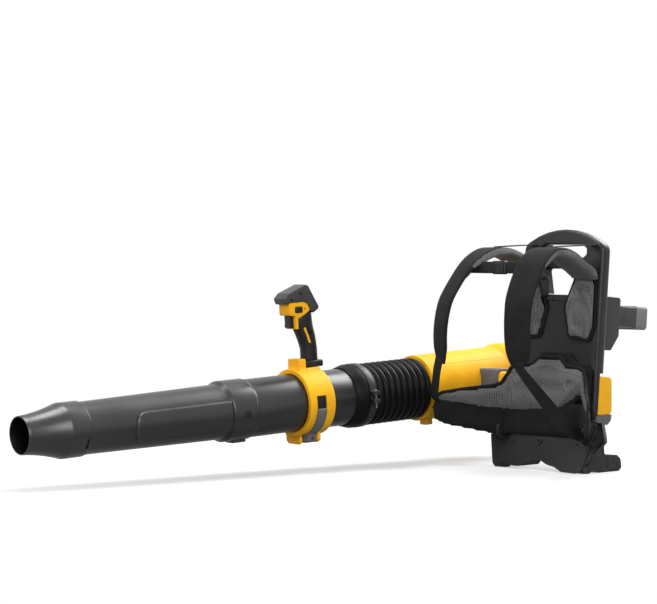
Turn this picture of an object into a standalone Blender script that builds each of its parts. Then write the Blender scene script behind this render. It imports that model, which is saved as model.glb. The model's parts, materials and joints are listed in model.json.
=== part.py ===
"""Backpack leaf blower, built as separate pieces.

Units are metres, +Z is up.  The origin is on the floor, under the middle of the whole blower; the
shapes are drawn about the middle of the back frame's base and moved there at the end.
-Y is the way the wearer faces and the way the blower tube points; +X is the wearer's left.
Everything on the blower tube is drawn in the tube's own frame, an empty whose Z axis runs
forward along the tube, whose Y axis points up and whose X axis points to the wearer's left.
"""

import math

import bmesh
import bpy
from mathutils import Matrix, Vector

# ------------------------------------------------------------------ clearances
SEAT = 0.0003          # gap left between two faces that touch
RUN = 0.0006           # gap left between two faces that slide or turn

# ------------------------------------------------------------------ back frame and base
BASE_MIDDLE = (0.110, 0.383)
FRAME_LEAN = math.radians(4.86)
FRAME_FRONT_Y = 0.005
FRAME_HALF_WIDTH = 0.104
FRAME_BOTTOM = 0.100
FRAME_SHOULDER = 0.453
FRAME_TOP = 0.479
FRAME_CORNER = 0.015
FRAME_DEPTH = 0.028
FRAME_PLATE = 0.006
FRAME_RAIL = 0.020
FRAME_EDGE = 0.0025
FRAME_REAR_EDGE = 0.0085
LOWER_TOP = 0.195
LOWER_DEPTH = 0.012
GRIP_OPENING_HALF = 0.060
GRIP_OPENING_LOW = 0.420
GRIP_OPENING_HIGH = 0.449
WINDOW_LOW = 0.348
WINDOW_HIGH = 0.401
WINDOW_HALF_LOW = 0.038
WINDOW_HALF_HIGH = 0.050
SKID_INNER = 0.092
SKID_OUTER = 0.118
SKID_FRONT = -0.036
SKID_REAR = 0.083
SKID_TOE_HEIGHT = 0.032
ANKLE_Y = 0.027
APRON_KNEE_Y = -0.012
APRON_KNEE_Z = 0.054
APRON_THICKNESS = 0.008
ARCH_CENTRE_Z = 0.030
ARCH_SIDE_Z = 0.016
FLARE_X = 0.149
FLARE_Z = 0.062
SCREW_RADIUS = 0.004
APRON_SCREW_X = 0.082
APRON_SCREW_Z = 0.056
ANCHOR_INNER = 0.106
ANCHOR_OUTER = 0.114
ANCHOR_FRONT = -0.030
ANCHOR_LOW = 0.054
WEB_HOLE_Z = 0.074

# ------------------------------------------------------------------ harness
PAD_THICKNESS = 0.013
UPPER_PAD_INNER = 0.021
UPPER_PAD_OUTER = 0.094
UPPER_PAD_LOW = 0.260
UPPER_PAD_HIGH = 0.377
BACKING_THICKNESS = 0.008
BACKING_HALF = 0.094
BACKING_HIGH = 0.212
LUMBAR_THICKNESS = 0.016
LUMBAR_HALF = 0.086
LUMBAR_HIGH = 0.226
LUMBAR_LOW = 0.110
WING_ROOT_X = 0.0920
WING_ROOT_Y = 0.0044
WING_SPLAY = math.radians(44.5)
WING_LENGTH = 0.163
WING_THICKNESS = 0.018
WING_ROOT_HIGH = 0.206
WING_TIP_HIGH = 0.151
WING_ROOT_LOW = 0.114
WING_TIP_LOW = 0.072
STRAP_WIDTH = 0.066
STRAP_END_WIDTH = 0.052
STRAP_TWIST = math.radians(20)
STRAP_THICKNESS = 0.011
WEB_WIDTH = 0.025
WEB_THICKNESS = 0.002
CHEST_Y = -0.146
CHEST_Z = 0.402
CHEST_HEIGHT = 0.023
CHEST_LAP = 0.0031
BUCKLE_HALF = 0.018

# ------------------------------------------------------------------ power pack
ELECTRONICS_LEFT = -0.164
ELECTRONICS_RIGHT = 0.100
ELECTRONICS_REAR = 0.075
ELECTRONICS_LOW = 0.111
ELECTRONICS_HIGH = 0.188
ELECTRONICS_FALL = 0.004
BUMPER_LOW = 0.0905
HOUSING_WALL = 0.003
BOARD_THICKNESS = 0.003
DOCK_HALF = 0.068
DOCK_REAR = 0.107
DOCK_LOW = 0.243
DOCK_HIGH = 0.350
BATTERY_HALF = 0.047
BATTERY_LOW = 0.2935
BATTERY_HIGH = 0.3360
BATTERY_FRONT = 0.066
BATTERY_REAR = 0.219
BATTERY_CAP_LENGTH = 0.034
BATTERY_CAP_GROWTH = 0.0025
TERMINAL_DEPTH = 0.012
RELEASE_HALF = 0.012
RELEASE_TRAVEL = 0.0022

# ------------------------------------------------------------------ blower tube, along its axis
JUNCTION = (-0.291, -0.078, 0.153)
TUBE_YAW = math.radians(6.0)
TUBE_DROOP = math.radians(3.24)
ROUND_STEPS = 36

HOUSING_NOSE = 0.006
HOUSING_RADIUS = 0.067
HOUSING_REAR = -0.256
HOUSING_BULGE = 0.0725
BULGE_START = -0.205
SEAM_HEIGHT = 0.047
FLANGE_LENGTH = 0.030
GRILLE_LENGTH = 0.009
DUCT_RADIUS = 0.058
SHROUD_FRONT = -0.070
SHROUD_REAR = -0.185
MOTOR_POD_RADIUS = 0.0285
MOTOR_RADIUS = 0.0262
MOTOR_FRONT = -0.078
MOTOR_REAR = -0.140
TAIL_TIP = -0.036
VANE_COUNT = 7
BLADE_COUNT = 9
ROTOR_FRONT = -0.150
ROTOR_REAR = -0.178
HUB_RADIUS = 0.024
SHAFT_RADIUS = 0.004
BEARING_RADIUS = 0.011
BEARING_WIDTH = 0.007

HOSE_SPLIT = 0.0845
HOSE_END = 0.147
HOSE_CREST = 0.0625
HOSE_ROOT = 0.0555
HOSE_BORE = 0.0515
REAR_RIBS = 5
FRONT_RIBS = 4
CUFF_END = 0.200
CUFF_TAPER = 0.018
CUFF_RADIUS = 0.0640
CLAMP_BAND_START = 0.155
CLAMP_BAND_END = 0.170
CLAMP_BAND_THICKNESS = 0.0022

SWIVEL_RADIUS = 0.0567
SWIVEL_START = 0.158
SWIVEL_END = 0.490
TUBE_WALL = 0.0025
COLLAR_START = 0.440
COLLAR_END = 0.497
COLLAR_RADIUS = 0.0592
FRONT_REAR_RADIUS = 0.0532
FRONT_END_RADIUS = 0.0492
FRONT_END = 0.850
NOZZLE_START = 0.817
NOZZLE_COLLAR_END = 0.859
NOZZLE_COLLAR_RADIUS = 0.0522
NOZZLE_NECK = 0.906
NOZZLE_NECK_RADIUS = 0.0402
NOZZLE_MOUTH = 0.942
NOZZLE_MOUTH_RADIUS = 0.0360
NOZZLE_WALL = 0.0022
PEG_ANGLE = math.radians(-15.0)
PEG_STATION = 0.826
PEG_RADIUS = 0.0026
NOZZLE_TWIST = math.radians(22.0)
LOCK_STATION = 0.4705
LOCK_ANGLE = math.radians(-5.0)
LOCK_HALF_LENGTH = 0.0065
LOCK_HALF_WIDTH = 0.006
LOCK_TRAVEL = 0.0022

# ------------------------------------------------------------------ handle on its clamp ring
RING_REAR = 0.261
RING_FRONT = 0.322
RING_RADIUS = 0.067
CHANNEL_RADIUS = 0.0623
CHANNEL_HALF = 0.0115
LEVER_STATION = 0.295
LEVER_CLEAR = 0.0007
LEVER_INNER = 0.0631
LEVER_OUTER = 0.0700
LEVER_TIP_ANGLE = math.radians(-8.0)
LEVER_PIVOT_X = -0.0025
LEVER_PIVOT_Y = -0.0725
LEVER_EYE = 0.0085
LEVER_PIN_RADIUS = 0.0030
SLIT_ANGLE = math.radians(-112.0)
SLIT_WIDTH = 0.003
FOOT_REAR = 0.250
FOOT_FRONT = 0.2935
FOOT_TOP = 0.081
SHELF_HEIGHT = 0.0674
BLOCK_FRONT = 0.311
BLOCK_TOP = 0.0855
BLOCK_HALF = 0.018
GRIP_HALF = 0.0165
HEAD_HALF = 0.0185
HEAD_EDGE = 0.0040
COVER_HALF = 0.0172
COVER_EDGE = 0.0030
TRIGGER_HALF = 0.0088
TRIGGER_PIVOT = (0.3150, 0.1765)
TRIGGER_PIN_RADIUS = 0.0016
BUTTON_STATION = 0.305
BUTTON_HEIGHT = 0.183
BUTTON_HALF_LENGTH = 0.009
BUTTON_HALF_HEIGHT = 0.006
BUTTON_TRAVEL = 0.0020


# ================================================================== helpers
def clear_scene():
    for item in list(bpy.data.objects):
        bpy.data.objects.remove(item, do_unlink=True)
    for block in (bpy.data.meshes, bpy.data.materials, bpy.data.curves):
        for item in list(block):
            block.remove(item)


def material(name, colour, roughness=0.5, metallic=0.0):
    """A plain Principled material in the piece's photographed colour."""
    mat = bpy.data.materials.new(name)
    mat.use_nodes = True
    shader = mat.node_tree.nodes["Principled BSDF"]
    shader.inputs["Base Color"].default_value = (*colour, 1.0)
    shader.inputs["Roughness"].default_value = roughness
    shader.inputs["Metallic"].default_value = metallic
    mat.diffuse_color = (*colour, 1.0)
    return mat


def empty(name, location=(0, 0, 0), rotation=(0, 0, 0), parent=None):
    item = bpy.data.objects.new(name, None)
    item.empty_display_size = 0.03
    item.location = location
    item.rotation_euler = rotation
    item.parent = parent
    bpy.context.scene.collection.objects.link(item)
    return item


def place(name, bm, mat, parent=None):
    """Turn a bmesh into a named object of the scene, shaded smooth across shallow edges."""
    bmesh.ops.remove_doubles(bm, verts=bm.verts[:], dist=1e-6)
    bmesh.ops.dissolve_degenerate(bm, edges=bm.edges[:], dist=1e-7)
    bmesh.ops.recalc_face_normals(bm, faces=bm.faces[:])
    mesh = bpy.data.meshes.new(name)
    bm.to_mesh(mesh)
    bm.free()
    item = bpy.data.objects.new(name, mesh)
    item.parent = parent
    bpy.context.scene.collection.objects.link(item)
    if mat is not None:
        mesh.materials.append(mat)
    mesh.shade_smooth()
    mesh.set_sharp_from_angle(angle=math.radians(35))
    return item


def guide(name, bm, parent=None):
    """A shape that only cuts or joins another: hidden from renders and drawn as wire."""
    item = place(name, bm, None, parent)
    item.hide_render = True
    item.display_type = "WIRE"
    return item


def combine(target, operation, tool):
    modifier = target.modifiers.new(tool.name, "BOOLEAN")
    modifier.operation = operation
    modifier.solver = "EXACT"
    modifier.object = tool


def cut(target, bm):
    combine(target, "DIFFERENCE", guide(target.name + ".cutter", bm, target.parent))


def join(target, bm):
    combine(target, "UNION", guide(target.name + ".joined", bm, target.parent))


def keep(target, bm):
    combine(target, "INTERSECT", guide(target.name + ".kept", bm, target.parent))


def turned(profile, steps=ROUND_STEPS):
    """A body of revolution about Z from (radius, z) points, closed, or open with both ends on the axis."""
    bm = bmesh.new()
    verts = [bm.verts.new((radius, 0.0, z)) for radius, z in profile]
    edges = [bm.edges.new(pair) for pair in zip(verts, verts[1:])]
    if profile[0][0] > 0 or profile[-1][0] > 0:
        edges.append(bm.edges.new((verts[-1], verts[0])))
    bmesh.ops.spin(bm, geom=verts + edges, cent=(0, 0, 0), axis=(0, 0, 1), dvec=(0, 0, 0),
                   angle=math.tau, steps=steps, use_merge=True, use_duplicate=False)
    return bm


def pipe(outer, inner, low, high, steps=ROUND_STEPS):
    return turned([(outer, high), (outer, low), (inner, low), (inner, high)], steps)


def rod(radius, low, high, steps=16):
    return turned([(0, high), (radius, high), (radius, low), (0, low)], steps)


def prism(outline, low, high, axis):
    """Extrude a closed outline along an axis (0, 1 or 2); outline holds the other two coordinates."""
    bm = bmesh.new()
    others = [i for i in range(3) if i != axis]

    def corner(point, level):
        place_at = [0.0, 0.0, 0.0]
        place_at[axis] = level
        place_at[others[0]], place_at[others[1]] = point
        return bm.verts.new(place_at)

    bottom = [corner(point, low) for point in outline]
    top = [corner(point, high) for point in outline]
    bm.faces.new(bottom)
    bm.faces.new(reversed(top))
    for i in range(len(outline)):
        j = (i + 1) % len(outline)
        bm.faces.new((bottom[i], bottom[j], top[j], top[i]))
    return bm


def inset(outline, depth):
    """A closed outline moved inwards by `depth`, whichever way round it is listed."""
    count = len(outline)
    area = sum(outline[i - 1][0] * outline[i][1] - outline[i][0] * outline[i - 1][1] for i in range(count))
    turn = 1 if area > 0 else -1
    result = []
    for i, point in enumerate(outline):
        back = (Vector(point) - Vector(outline[i - 1])).normalized()
        ahead = (Vector(outline[(i + 1) % count]) - Vector(point)).normalized()
        normal = Vector((-(back.y + ahead.y), back.x + ahead.x)).normalized() * turn
        share = max(0.5, normal.dot(Vector((-back.y, back.x)) * turn))
        result.append(tuple(Vector(point) + normal * depth / share))
    return result


def pillow(outline, low, high, axis, edge, far_edge=None):
    """A prism whose rim is chamfered on both end faces, alike unless the far one has its own size."""
    bm = bmesh.new()
    others = [i for i in range(3) if i != axis]
    rings = []
    far = edge if far_edge is None else far_edge
    for points, level in ((inset(outline, edge), low), (outline, low + edge), (outline, high - far),
                          (inset(outline, far), high)):
        ring = []
        for point in points:
            position = [0.0, 0.0, 0.0]
            position[axis] = level
            position[others[0]], position[others[1]] = point
            ring.append(bm.verts.new(position))
        rings.append(ring)
    for a, b in zip(rings, rings[1:]):
        for k in range(len(outline)):
            m = (k + 1) % len(outline)
            bm.faces.new((a[k], a[m], b[m], b[k]))
    bm.faces.new(rings[0])
    bm.faces.new(list(reversed(rings[-1])))
    return bm


def box(low, high):
    return prism([(low[1], low[2]), (high[1], low[2]), (high[1], high[2]), (low[1], high[2])],
                 low[0], high[0], 0)


def moved(bm, matrix):
    bmesh.ops.transform(bm, matrix=matrix, verts=bm.verts[:])
    return bm


def merged(shapes):
    """Several separate solids as one mesh."""
    whole = bmesh.new()
    for shape in shapes:
        piece = bpy.data.meshes.new("piece")
        bmesh.ops.recalc_face_normals(shape, faces=shape.faces[:])
        shape.to_mesh(piece)
        shape.free()
        whole.from_mesh(piece)
        bpy.data.meshes.remove(piece)
    return whole


def rounded(points, radius, steps=4):
    """Round every corner of a closed outline with an arc, as far as its sides allow."""
    result = []
    count = len(points)
    for i, point in enumerate(points):
        here = Vector(point)
        back = Vector(points[i - 1]) - here
        ahead = Vector(points[(i + 1) % count]) - here
        angle = back.angle(ahead)
        reach = min(radius / math.tan(angle / 2), back.length * 0.49, ahead.length * 0.49)
        if reach < 1e-5 or angle > math.radians(168):
            result.append(tuple(here))
            continue
        start = here + back.normalized() * reach
        end = here + ahead.normalized() * reach
        centre = here + (back.normalized() + ahead.normalized()).normalized() * (
            reach / math.cos(angle / 2))
        for k in range(steps + 1):
            blend = start.lerp(end, k / steps) - centre
            arc = centre + blend.normalized() * (start - centre).length
            result.append(tuple(arc))
    return result


def mirrored(points):
    """A left-right symmetric outline from its right half, listed from bottom to top."""
    return points + [(-x, z) for x, z in reversed(points)]


def arc(radius, start, end, steps, centre=(0.0, 0.0)):
    return [(centre[0] + radius * math.cos(start + (end - start) * k / steps),
             centre[1] + radius * math.sin(start + (end - start) * k / steps))
            for k in range(steps + 1)]


def smooth_path(points, per_span=3):
    """A Catmull-Rom curve through the points."""
    points = [Vector(p) for p in points]
    ends = [points[0] * 2 - points[1]] + points + [points[-1] * 2 - points[-2]]
    path = []
    for i in range(1, len(ends) - 2):
        a, b, c, d = ends[i - 1:i + 3]
        for k in range(per_span):
            t = k / per_span
            path.append(0.5 * ((2 * b) + (c - a) * t + (2 * a - 5 * b + 4 * c - d) * t ** 2
                               + (3 * b - a - 3 * c + d) * t ** 3))
    path.append(points[-1])
    return path


def band(path, width, thickness, across, crown=0.0):
    """A strap along a path: its outer face is on the path, its width runs along `across`."""
    bm = bmesh.new()
    rings = []
    for i, point in enumerate(path):
        along = (path[min(i + 1, len(path) - 1)] - path[max(i - 1, 0)]).normalized()
        side_way = across[i] if isinstance(across, list) else Vector(across)
        side_way = (side_way - along * side_way.dot(along)).normalized()
        outward = side_way.cross(along).normalized()
        ring = []
        here = width[i] if isinstance(width, list) else width
        for share, level in ((-0.5, -crown), (-0.3, 0), (0.3, 0), (0.5, -crown),
                             (0.5, crown - thickness), (0.3, -thickness), (-0.3, -thickness),
                             (-0.5, crown - thickness)):
            if crown == 0.0 and abs(share) == 0.3:
                continue
            ring.append(bm.verts.new(point + side_way * here * share + outward * level))
        rings.append(ring)
    sides = len(rings[0])
    for a, b in zip(rings, rings[1:]):
        for k in range(sides):
            m = (k + 1) % sides
            bm.faces.new((a[k], a[m], b[m], b[k]))
    bm.faces.new(rings[0])
    bm.faces.new(list(reversed(rings[-1])))
    return bm


def cushion(outline, front, back, crown, inset, axis=1, channels=()):
    """A pad whose back is flat and whose front swells by `crown` inside its drawn-in rim."""
    bm = bmesh.new()
    others = [i for i in range(3) if i != axis]
    centre = Vector((sum(p[0] for p in outline), sum(p[1] for p in outline))) / len(outline)

    def ring(shrink, level):
        verts = []
        for point in outline:
            away = Vector(point) - centre
            at = centre + away * (1 - shrink / max(away.length, shrink * 2))
            position = [0.0, 0.0, 0.0]
            position[axis] = level
            position[others[0]], position[others[1]] = at
            verts.append(bm.verts.new(position))
        return verts

    depth = back - front
    rings = [ring(inset * 0.5, back), ring(0.0, back - depth * 0.35), ring(inset * 0.3, front + crown),
             ring(inset * 1.6, front + crown * 0.3), ring(inset * 3.6, front)]
    rings += [ring(inset * reach, front + level) for reach, level in channels]
    for a, b in zip(rings, rings[1:]):
        for k in range(len(outline)):
            m = (k + 1) % len(outline)
            bm.faces.new((a[k], a[m], b[m], b[k]))
    bm.faces.new(rings[0])
    bm.faces.new(list(reversed(rings[-1])))
    return bm


# ================================================================== materials
def make_materials():
    return {
        "frame": material("black_frame_plastic", (0.030, 0.031, 0.033), 0.48),
        "tube": material("black_tube_plastic", (0.022, 0.022, 0.024), 0.34),
        "yellow": material("yellow_housing_plastic", (0.92, 0.50, 0.015), 0.38),
        "grey": material("dark_grey_plastic", (0.085, 0.085, 0.095), 0.50),
        "lever": material("mid_grey_plastic", (0.16, 0.16, 0.18), 0.45),
        "mesh": material("grey_mesh_fabric", (0.125, 0.125, 0.130), 0.85),
        "fabric": material("black_fabric", (0.022, 0.022, 0.024), 0.85),
        "hose": material("black_hose_rubber", (0.015, 0.015, 0.016), 0.55),
        "steel": material("dark_steel", (0.10, 0.10, 0.105), 0.40, 1.0),
        "bright": material("bright_steel", (0.60, 0.60, 0.61), 0.30, 1.0),
        "board": material("board_green", (0.02, 0.12, 0.05), 0.50),
        "cells": material("cell_wrap", (0.05, 0.16, 0.30), 0.45),
        "red": material("indicator_red", (0.55, 0.02, 0.015), 0.25),
    }


# ================================================================== back frame and base
def frame_outline():
    """Straight sides under a shallow arch, with a rounded corner where they meet."""
    half = FRAME_HALF_WIDTH
    fall = (FRAME_TOP - FRAME_SHOULDER) / half ** 2
    right = [(half, FRAME_BOTTOM), (half, FRAME_SHOULDER)]
    right += [(half * share, FRAME_TOP - fall * (half * share) ** 2) for share in (0.62, 0.42, 0.21)]
    left = [(-x, z) for x, z in reversed(right)]
    return rounded(right + [(0.0, FRAME_TOP)] + left, FRAME_CORNER, 5)


def make_back_frame(mats, lean):
    past = 0.01
    frame = place("back_frame", pillow(frame_outline(), 0.0, FRAME_DEPTH, 1, FRAME_EDGE, FRAME_REAR_EDGE), mats["frame"], lean)
    chamfer = 0.014
    half = GRIP_OPENING_HALF
    opening = mirrored([(half - chamfer, GRIP_OPENING_LOW), (half, GRIP_OPENING_LOW + chamfer * 0.6),
                        (half, GRIP_OPENING_HIGH - chamfer * 0.6), (half - chamfer, GRIP_OPENING_HIGH)])
    cut(frame, prism(rounded(opening, 0.006, 2), -past, FRAME_DEPTH + past, 1))
    window = mirrored([(WINDOW_HALF_LOW, WINDOW_LOW), (WINDOW_HALF_HIGH, WINDOW_HIGH)])
    cut(frame, prism(rounded(window, 0.007, 2), -past, FRAME_DEPTH + past, 1))
    pocket_half = FRAME_HALF_WIDTH - FRAME_RAIL
    cut(frame, box((-pocket_half, FRAME_PLATE, LOWER_TOP - past),
                   (pocket_half, FRAME_DEPTH + past, WINDOW_LOW - FRAME_RAIL / 2)))
    cut(frame, box((-1, LOWER_DEPTH, FRAME_BOTTOM - past), (1, FRAME_DEPTH + past, LOWER_TOP)))
    return frame


def skid_outline():
    """Side view of one skid: a front toe, a rear foot and the leg up to the frame."""
    top = base_top()
    front = front_line_y(top)
    return [(SKID_FRONT + 0.008, 0.0), (SKID_FRONT + 0.022, 0.0), (SKID_FRONT + 0.028, 0.005),
            (ANKLE_Y - 0.026, 0.005), (ANKLE_Y - 0.014, 0.0), (SKID_REAR - 0.008, 0.0),
            (SKID_REAR, 0.007), (SKID_REAR - 0.003, SKID_TOE_HEIGHT - 0.008),
            (SKID_REAR - 0.014, SKID_TOE_HEIGHT), (ANKLE_Y + 0.004, SKID_TOE_HEIGHT + 0.002),
            (front + LOWER_DEPTH, top), (front, top), (APRON_KNEE_Y, APRON_KNEE_Z),
            (SKID_FRONT, 0.014), (SKID_FRONT, 0.008)]


def front_line_y(z):
    """Y of the frame's front face at height z."""
    return FRAME_FRONT_Y + z * math.tan(FRAME_LEAN)


def base_top():
    """The frame's bottom face dips towards its back, and the base stays clear of it."""
    return FRAME_BOTTOM * math.cos(FRAME_LEAN) - LOWER_DEPTH * math.sin(FRAME_LEAN) - SEAT


def apron_outline():
    """Side view of the bent sheet between the skids, set just behind their front edges."""
    recess = 0.0008
    top = base_top() - recess / 2
    front = front_line_y(top) + recess
    knee = APRON_KNEE_Y + recess
    slope = (APRON_KNEE_Y - SKID_FRONT) / (APRON_KNEE_Z - 0.014)
    foot_z = 0.015
    foot_y = knee - slope * (APRON_KNEE_Z - foot_z)
    thick = APRON_THICKNESS
    return [(foot_y, foot_z), (foot_y + thick * 1.3, foot_z), (knee + thick * 1.1, APRON_KNEE_Z),
            (front + thick, top), (front, top), (knee, APRON_KNEE_Z)]


def make_base(mats):
    """Two skids joined by a bent apron whose lower edge is arched."""
    skid = rounded(skid_outline(), 0.005, 2)
    past = 0.02
    base = place("base_foot", prism(apron_outline(), -FLARE_X - past, FLARE_X + past, 0), mats["frame"])
    steps = 8
    right = []
    for k in range(steps + 1):
        x = SKID_INNER * k / steps
        right.append((x, ARCH_CENTRE_Z - (ARCH_CENTRE_Z - ARCH_SIDE_Z) * (x / SKID_INNER) ** 2))
    right += [(SKID_OUTER - 0.001, 0.010), (FLARE_X, FLARE_Z), (FLARE_X - 0.006, FLARE_Z + 0.010),
              (SKID_OUTER - 0.008, base_top() + past)]
    keep(base, prism([(-x, z) for x, z in reversed(right[1:])] + right, -0.1, 0.1, 1))
    for side in (-1, 1):
        low, high = sorted((side * SKID_INNER, side * SKID_OUTER))
        join(base, prism(skid, low, high, 0))
    make_strap_anchors(base)
    upright = Matrix.Rotation(math.pi / 2, 4, "X")
    holes = [moved(rod(SCREW_RADIUS + SEAT, -0.03, 0.03), Matrix.Translation((x, 0, APRON_SCREW_Z)) @ upright)
             for x in (-APRON_SCREW_X, APRON_SCREW_X)]
    cut(base, merged(holes))

    rise = (front_line_y(base_top()) - APRON_KNEE_Y) / (base_top() - APRON_KNEE_Z)
    face = APRON_KNEE_Y + (APRON_SCREW_Z - APRON_KNEE_Z) * rise
    for side, name in ((1, "base_screw_left"), (-1, "base_screw_right")):
        shape = turned([(0, 0.020), (SCREW_RADIUS - 0.001, 0.020), (SCREW_RADIUS, 0.016),
                        (SCREW_RADIUS, 0.0), (0, 0.0)], 14)
        screw = place(name, moved(shape, Matrix.Rotation(-math.pi / 2, 4, "X")), mats["steel"])
        screw.location = (side * APRON_SCREW_X, face - 0.0012, APRON_SCREW_Z)


def make_strap_anchors(base):
    """A slotted fin on the front of each leg, where the harness webbing is tied down."""
    top = base_top() - 0.001
    bite = 0.004
    outline = [(ANCHOR_FRONT + 0.014, ANCHOR_LOW), (APRON_KNEE_Y + bite, ANCHOR_LOW),
               (front_line_y(top) + bite, top), (ANCHOR_FRONT + 0.016, top),
               (ANCHOR_FRONT, top - 0.016), (ANCHOR_FRONT, ANCHOR_LOW + 0.012)]
    slot_y = ANCHOR_FRONT + 0.008
    slot = rounded([(slot_y, WEB_HOLE_Z - 0.014), (slot_y + 0.006, WEB_HOLE_Z - 0.014),
                    (slot_y + 0.006, WEB_HOLE_Z + 0.014), (slot_y, WEB_HOLE_Z + 0.014)], 0.0025, 2)
    for side in (-1, 1):
        low, high = sorted((side * ANCHOR_INNER, side * ANCHOR_OUTER))
        join(base, prism(rounded(outline, 0.005, 2), low, high, 0))
        cut(base, prism(slot, low - 0.005, high + 0.005, 0))


# ================================================================== harness
def make_pads(mats, lean):
    """Two upper back pads, and the lumbar pad on its black backing."""
    back = -SEAT
    chamfer_in = 0.017
    for side, name in ((1, "upper_pad_left"), (-1, "upper_pad_right")):
        outline = [(UPPER_PAD_INNER + 0.014, UPPER_PAD_LOW + 0.005), (UPPER_PAD_OUTER - 0.011, UPPER_PAD_LOW),
                   (UPPER_PAD_OUTER, UPPER_PAD_LOW + 0.026), (UPPER_PAD_OUTER - 0.004, UPPER_PAD_HIGH),
                   (UPPER_PAD_INNER + chamfer_in, UPPER_PAD_HIGH), (UPPER_PAD_INNER, UPPER_PAD_HIGH - 0.056)]
        outline = [(side * x, z) for x, z in rounded(outline, 0.008, 2)]
        place(name, cushion(outline, back - PAD_THICKNESS, back, 0.005, 0.006), mats["mesh"], lean)

    right = [(BACKING_HALF - 0.012, FRAME_BOTTOM + 0.002), (BACKING_HALF, FRAME_BOTTOM + 0.016),
             (BACKING_HALF, BACKING_HIGH - 0.012), (BACKING_HALF - 0.014, BACKING_HIGH),
             (0.052, BACKING_HIGH + 0.003), (0.034, BACKING_HIGH + 0.021)]
    place("lumbar_backing", prism(rounded(mirrored(right), 0.006, 2), back - BACKING_THICKNESS, back, 1),
          mats["fabric"], lean)

    right = [(0.026, LUMBAR_LOW), (LUMBAR_HALF, LUMBAR_LOW + 0.034), (LUMBAR_HALF - 0.008, LUMBAR_HIGH - 0.020),
             (0.042, LUMBAR_HIGH - 0.016), (0.026, LUMBAR_HIGH)]
    face = back - BACKING_THICKNESS - SEAT
    place("lumbar_pad", cushion(rounded(mirrored(right), 0.006, 2), face - LUMBAR_THICKNESS, face, 0.006, 0.006),
          mats["mesh"], lean)


def make_belt_wings(mats):
    """Hip belt wings that reach forward and outward from the lumbar pad."""
    for side, name in ((1, "belt_wing_left"), (-1, "belt_wing_right")):
        root = empty(name + ".hinge_line", (side * WING_ROOT_X, WING_ROOT_Y, 0),
                     (0, 0, -WING_SPLAY if side > 0 else math.pi + WING_SPLAY))
        length = WING_LENGTH
        outline = [(0.0, WING_ROOT_LOW), (length * 0.30, WING_ROOT_LOW - 0.012),
                   (length * 0.38, WING_TIP_LOW - 0.010), (length * 0.92, WING_TIP_LOW - 0.001),
                   (length, WING_TIP_LOW + 0.014), (length, WING_TIP_HIGH - 0.006),
                   (length * 0.94, WING_TIP_HIGH), (length * 0.72, WING_TIP_HIGH + 0.007),
                   (length * 0.26, WING_TIP_HIGH + 0.020), (length * 0.12, WING_TIP_HIGH + 0.030),
                   (length * 0.05, WING_ROOT_HIGH - 0.008), (0.0, WING_ROOT_HIGH)]
        outline = rounded(outline, 0.008, 2)
        half = WING_THICKNESS / 2
        if side > 0:
            shape = cushion(outline, -half, half, 0.005, 0.006)
        else:
            shape = cushion(outline, half, -half, -0.005, 0.006)
        place(name, shape, mats["mesh"], root)


def shoulder_path():
    """The outer face of the wearer's left shoulder strap, from the frame over the shoulder and down."""
    start_z = 0.385
    start_y = front_line_y(start_z) - SEAT - 0.0006
    return [(0.068, start_y, start_z), (0.069, start_y - 0.011, start_z + 0.022), (0.070, 0.000, 0.427),
            (0.071, -0.028, 0.441), (0.072, -0.062, 0.4455), (0.076, -0.106, 0.437), (0.084, -0.151, 0.410),
            (0.094, -0.192, 0.355), (0.099, -0.206, 0.318), (0.102, -0.211, 0.270), (0.103, -0.206, 0.214)]


def strap_middle(z):
    """X of the strap's middle line at height z on its way down the chest."""
    path = shoulder_path()
    for above, below in zip(path, path[1:]):
        if above[2] >= z > below[2] and below[1] < -0.1:
            share = (above[2] - z) / (above[2] - below[2])
            return above[0] + (below[0] - above[0]) * share
    return path[-1][0]


def make_shoulder_straps(mats):
    """Padded straps that turn outwards and narrow on their way down the chest."""
    for side, name in ((1, "shoulder_strap_left"), (-1, "shoulder_strap_right")):
        path = smooth_path([(side * x, y, z) for x, y, z in shoulder_path()], 2)
        across = []
        widths = []
        for k in range(len(path)):
            share = k / (len(path) - 1)
            turn = STRAP_TWIST * min(1.0, max(0.0, (share - 0.25) / 0.4))
            across.append(Vector((-math.cos(turn), -side * math.sin(turn), 0)))
            widths.append(STRAP_WIDTH + (STRAP_END_WIDTH - STRAP_WIDTH) * max(0.0, (share - 0.5) / 0.5))
        place(name, band(path, widths, STRAP_THICKNESS, across, 0.004), mats["fabric"])


def make_webbing(mats):
    """Webbing from each shoulder strap's lower end back to the anchor on the same side."""
    beside = SEAT + WEB_THICKNESS
    end_y = ANCHOR_FRONT + 0.016
    left = [(0.103, -0.197, 0.209), (0.103, -0.172, 0.184), (0.1035, -0.117, 0.134), (0.1045, -0.080, 0.100),
            (ANCHOR_INNER - beside, -0.045, 0.080), (ANCHOR_INNER - beside, end_y, WEB_HOLE_Z)]
    turn = [Vector((1, 0, 0)).lerp(Vector((0, 0, 1)), min(1, (k / 7) ** 2)) for k in range(11)]
    place("webbing_left", band(smooth_path(left, 2), WEB_WIDTH, WEB_THICKNESS, turn), mats["fabric"])
    outer = (-ANCHOR_OUTER - 2 * SEAT, ANCHOR_FRONT + 0.011, WEB_HOLE_Z)
    right = [(-0.103, -0.195, 0.206), (-0.122, -0.187, 0.184), (-0.165, -0.163, 0.165), (-0.204, -0.128, 0.147),
             (-0.219, -0.095, 0.130), (-0.198, -0.052, 0.105), (-0.150, -0.024, 0.083), outer]
    turn = [Vector((1, 0, 0)).lerp(Vector((0, 0, -1)), min(1, k / 4)) for k in range(15)]
    place("webbing_right", band(smooth_path(right, 2), WEB_WIDTH, WEB_THICKNESS, turn), mats["fabric"])


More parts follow.
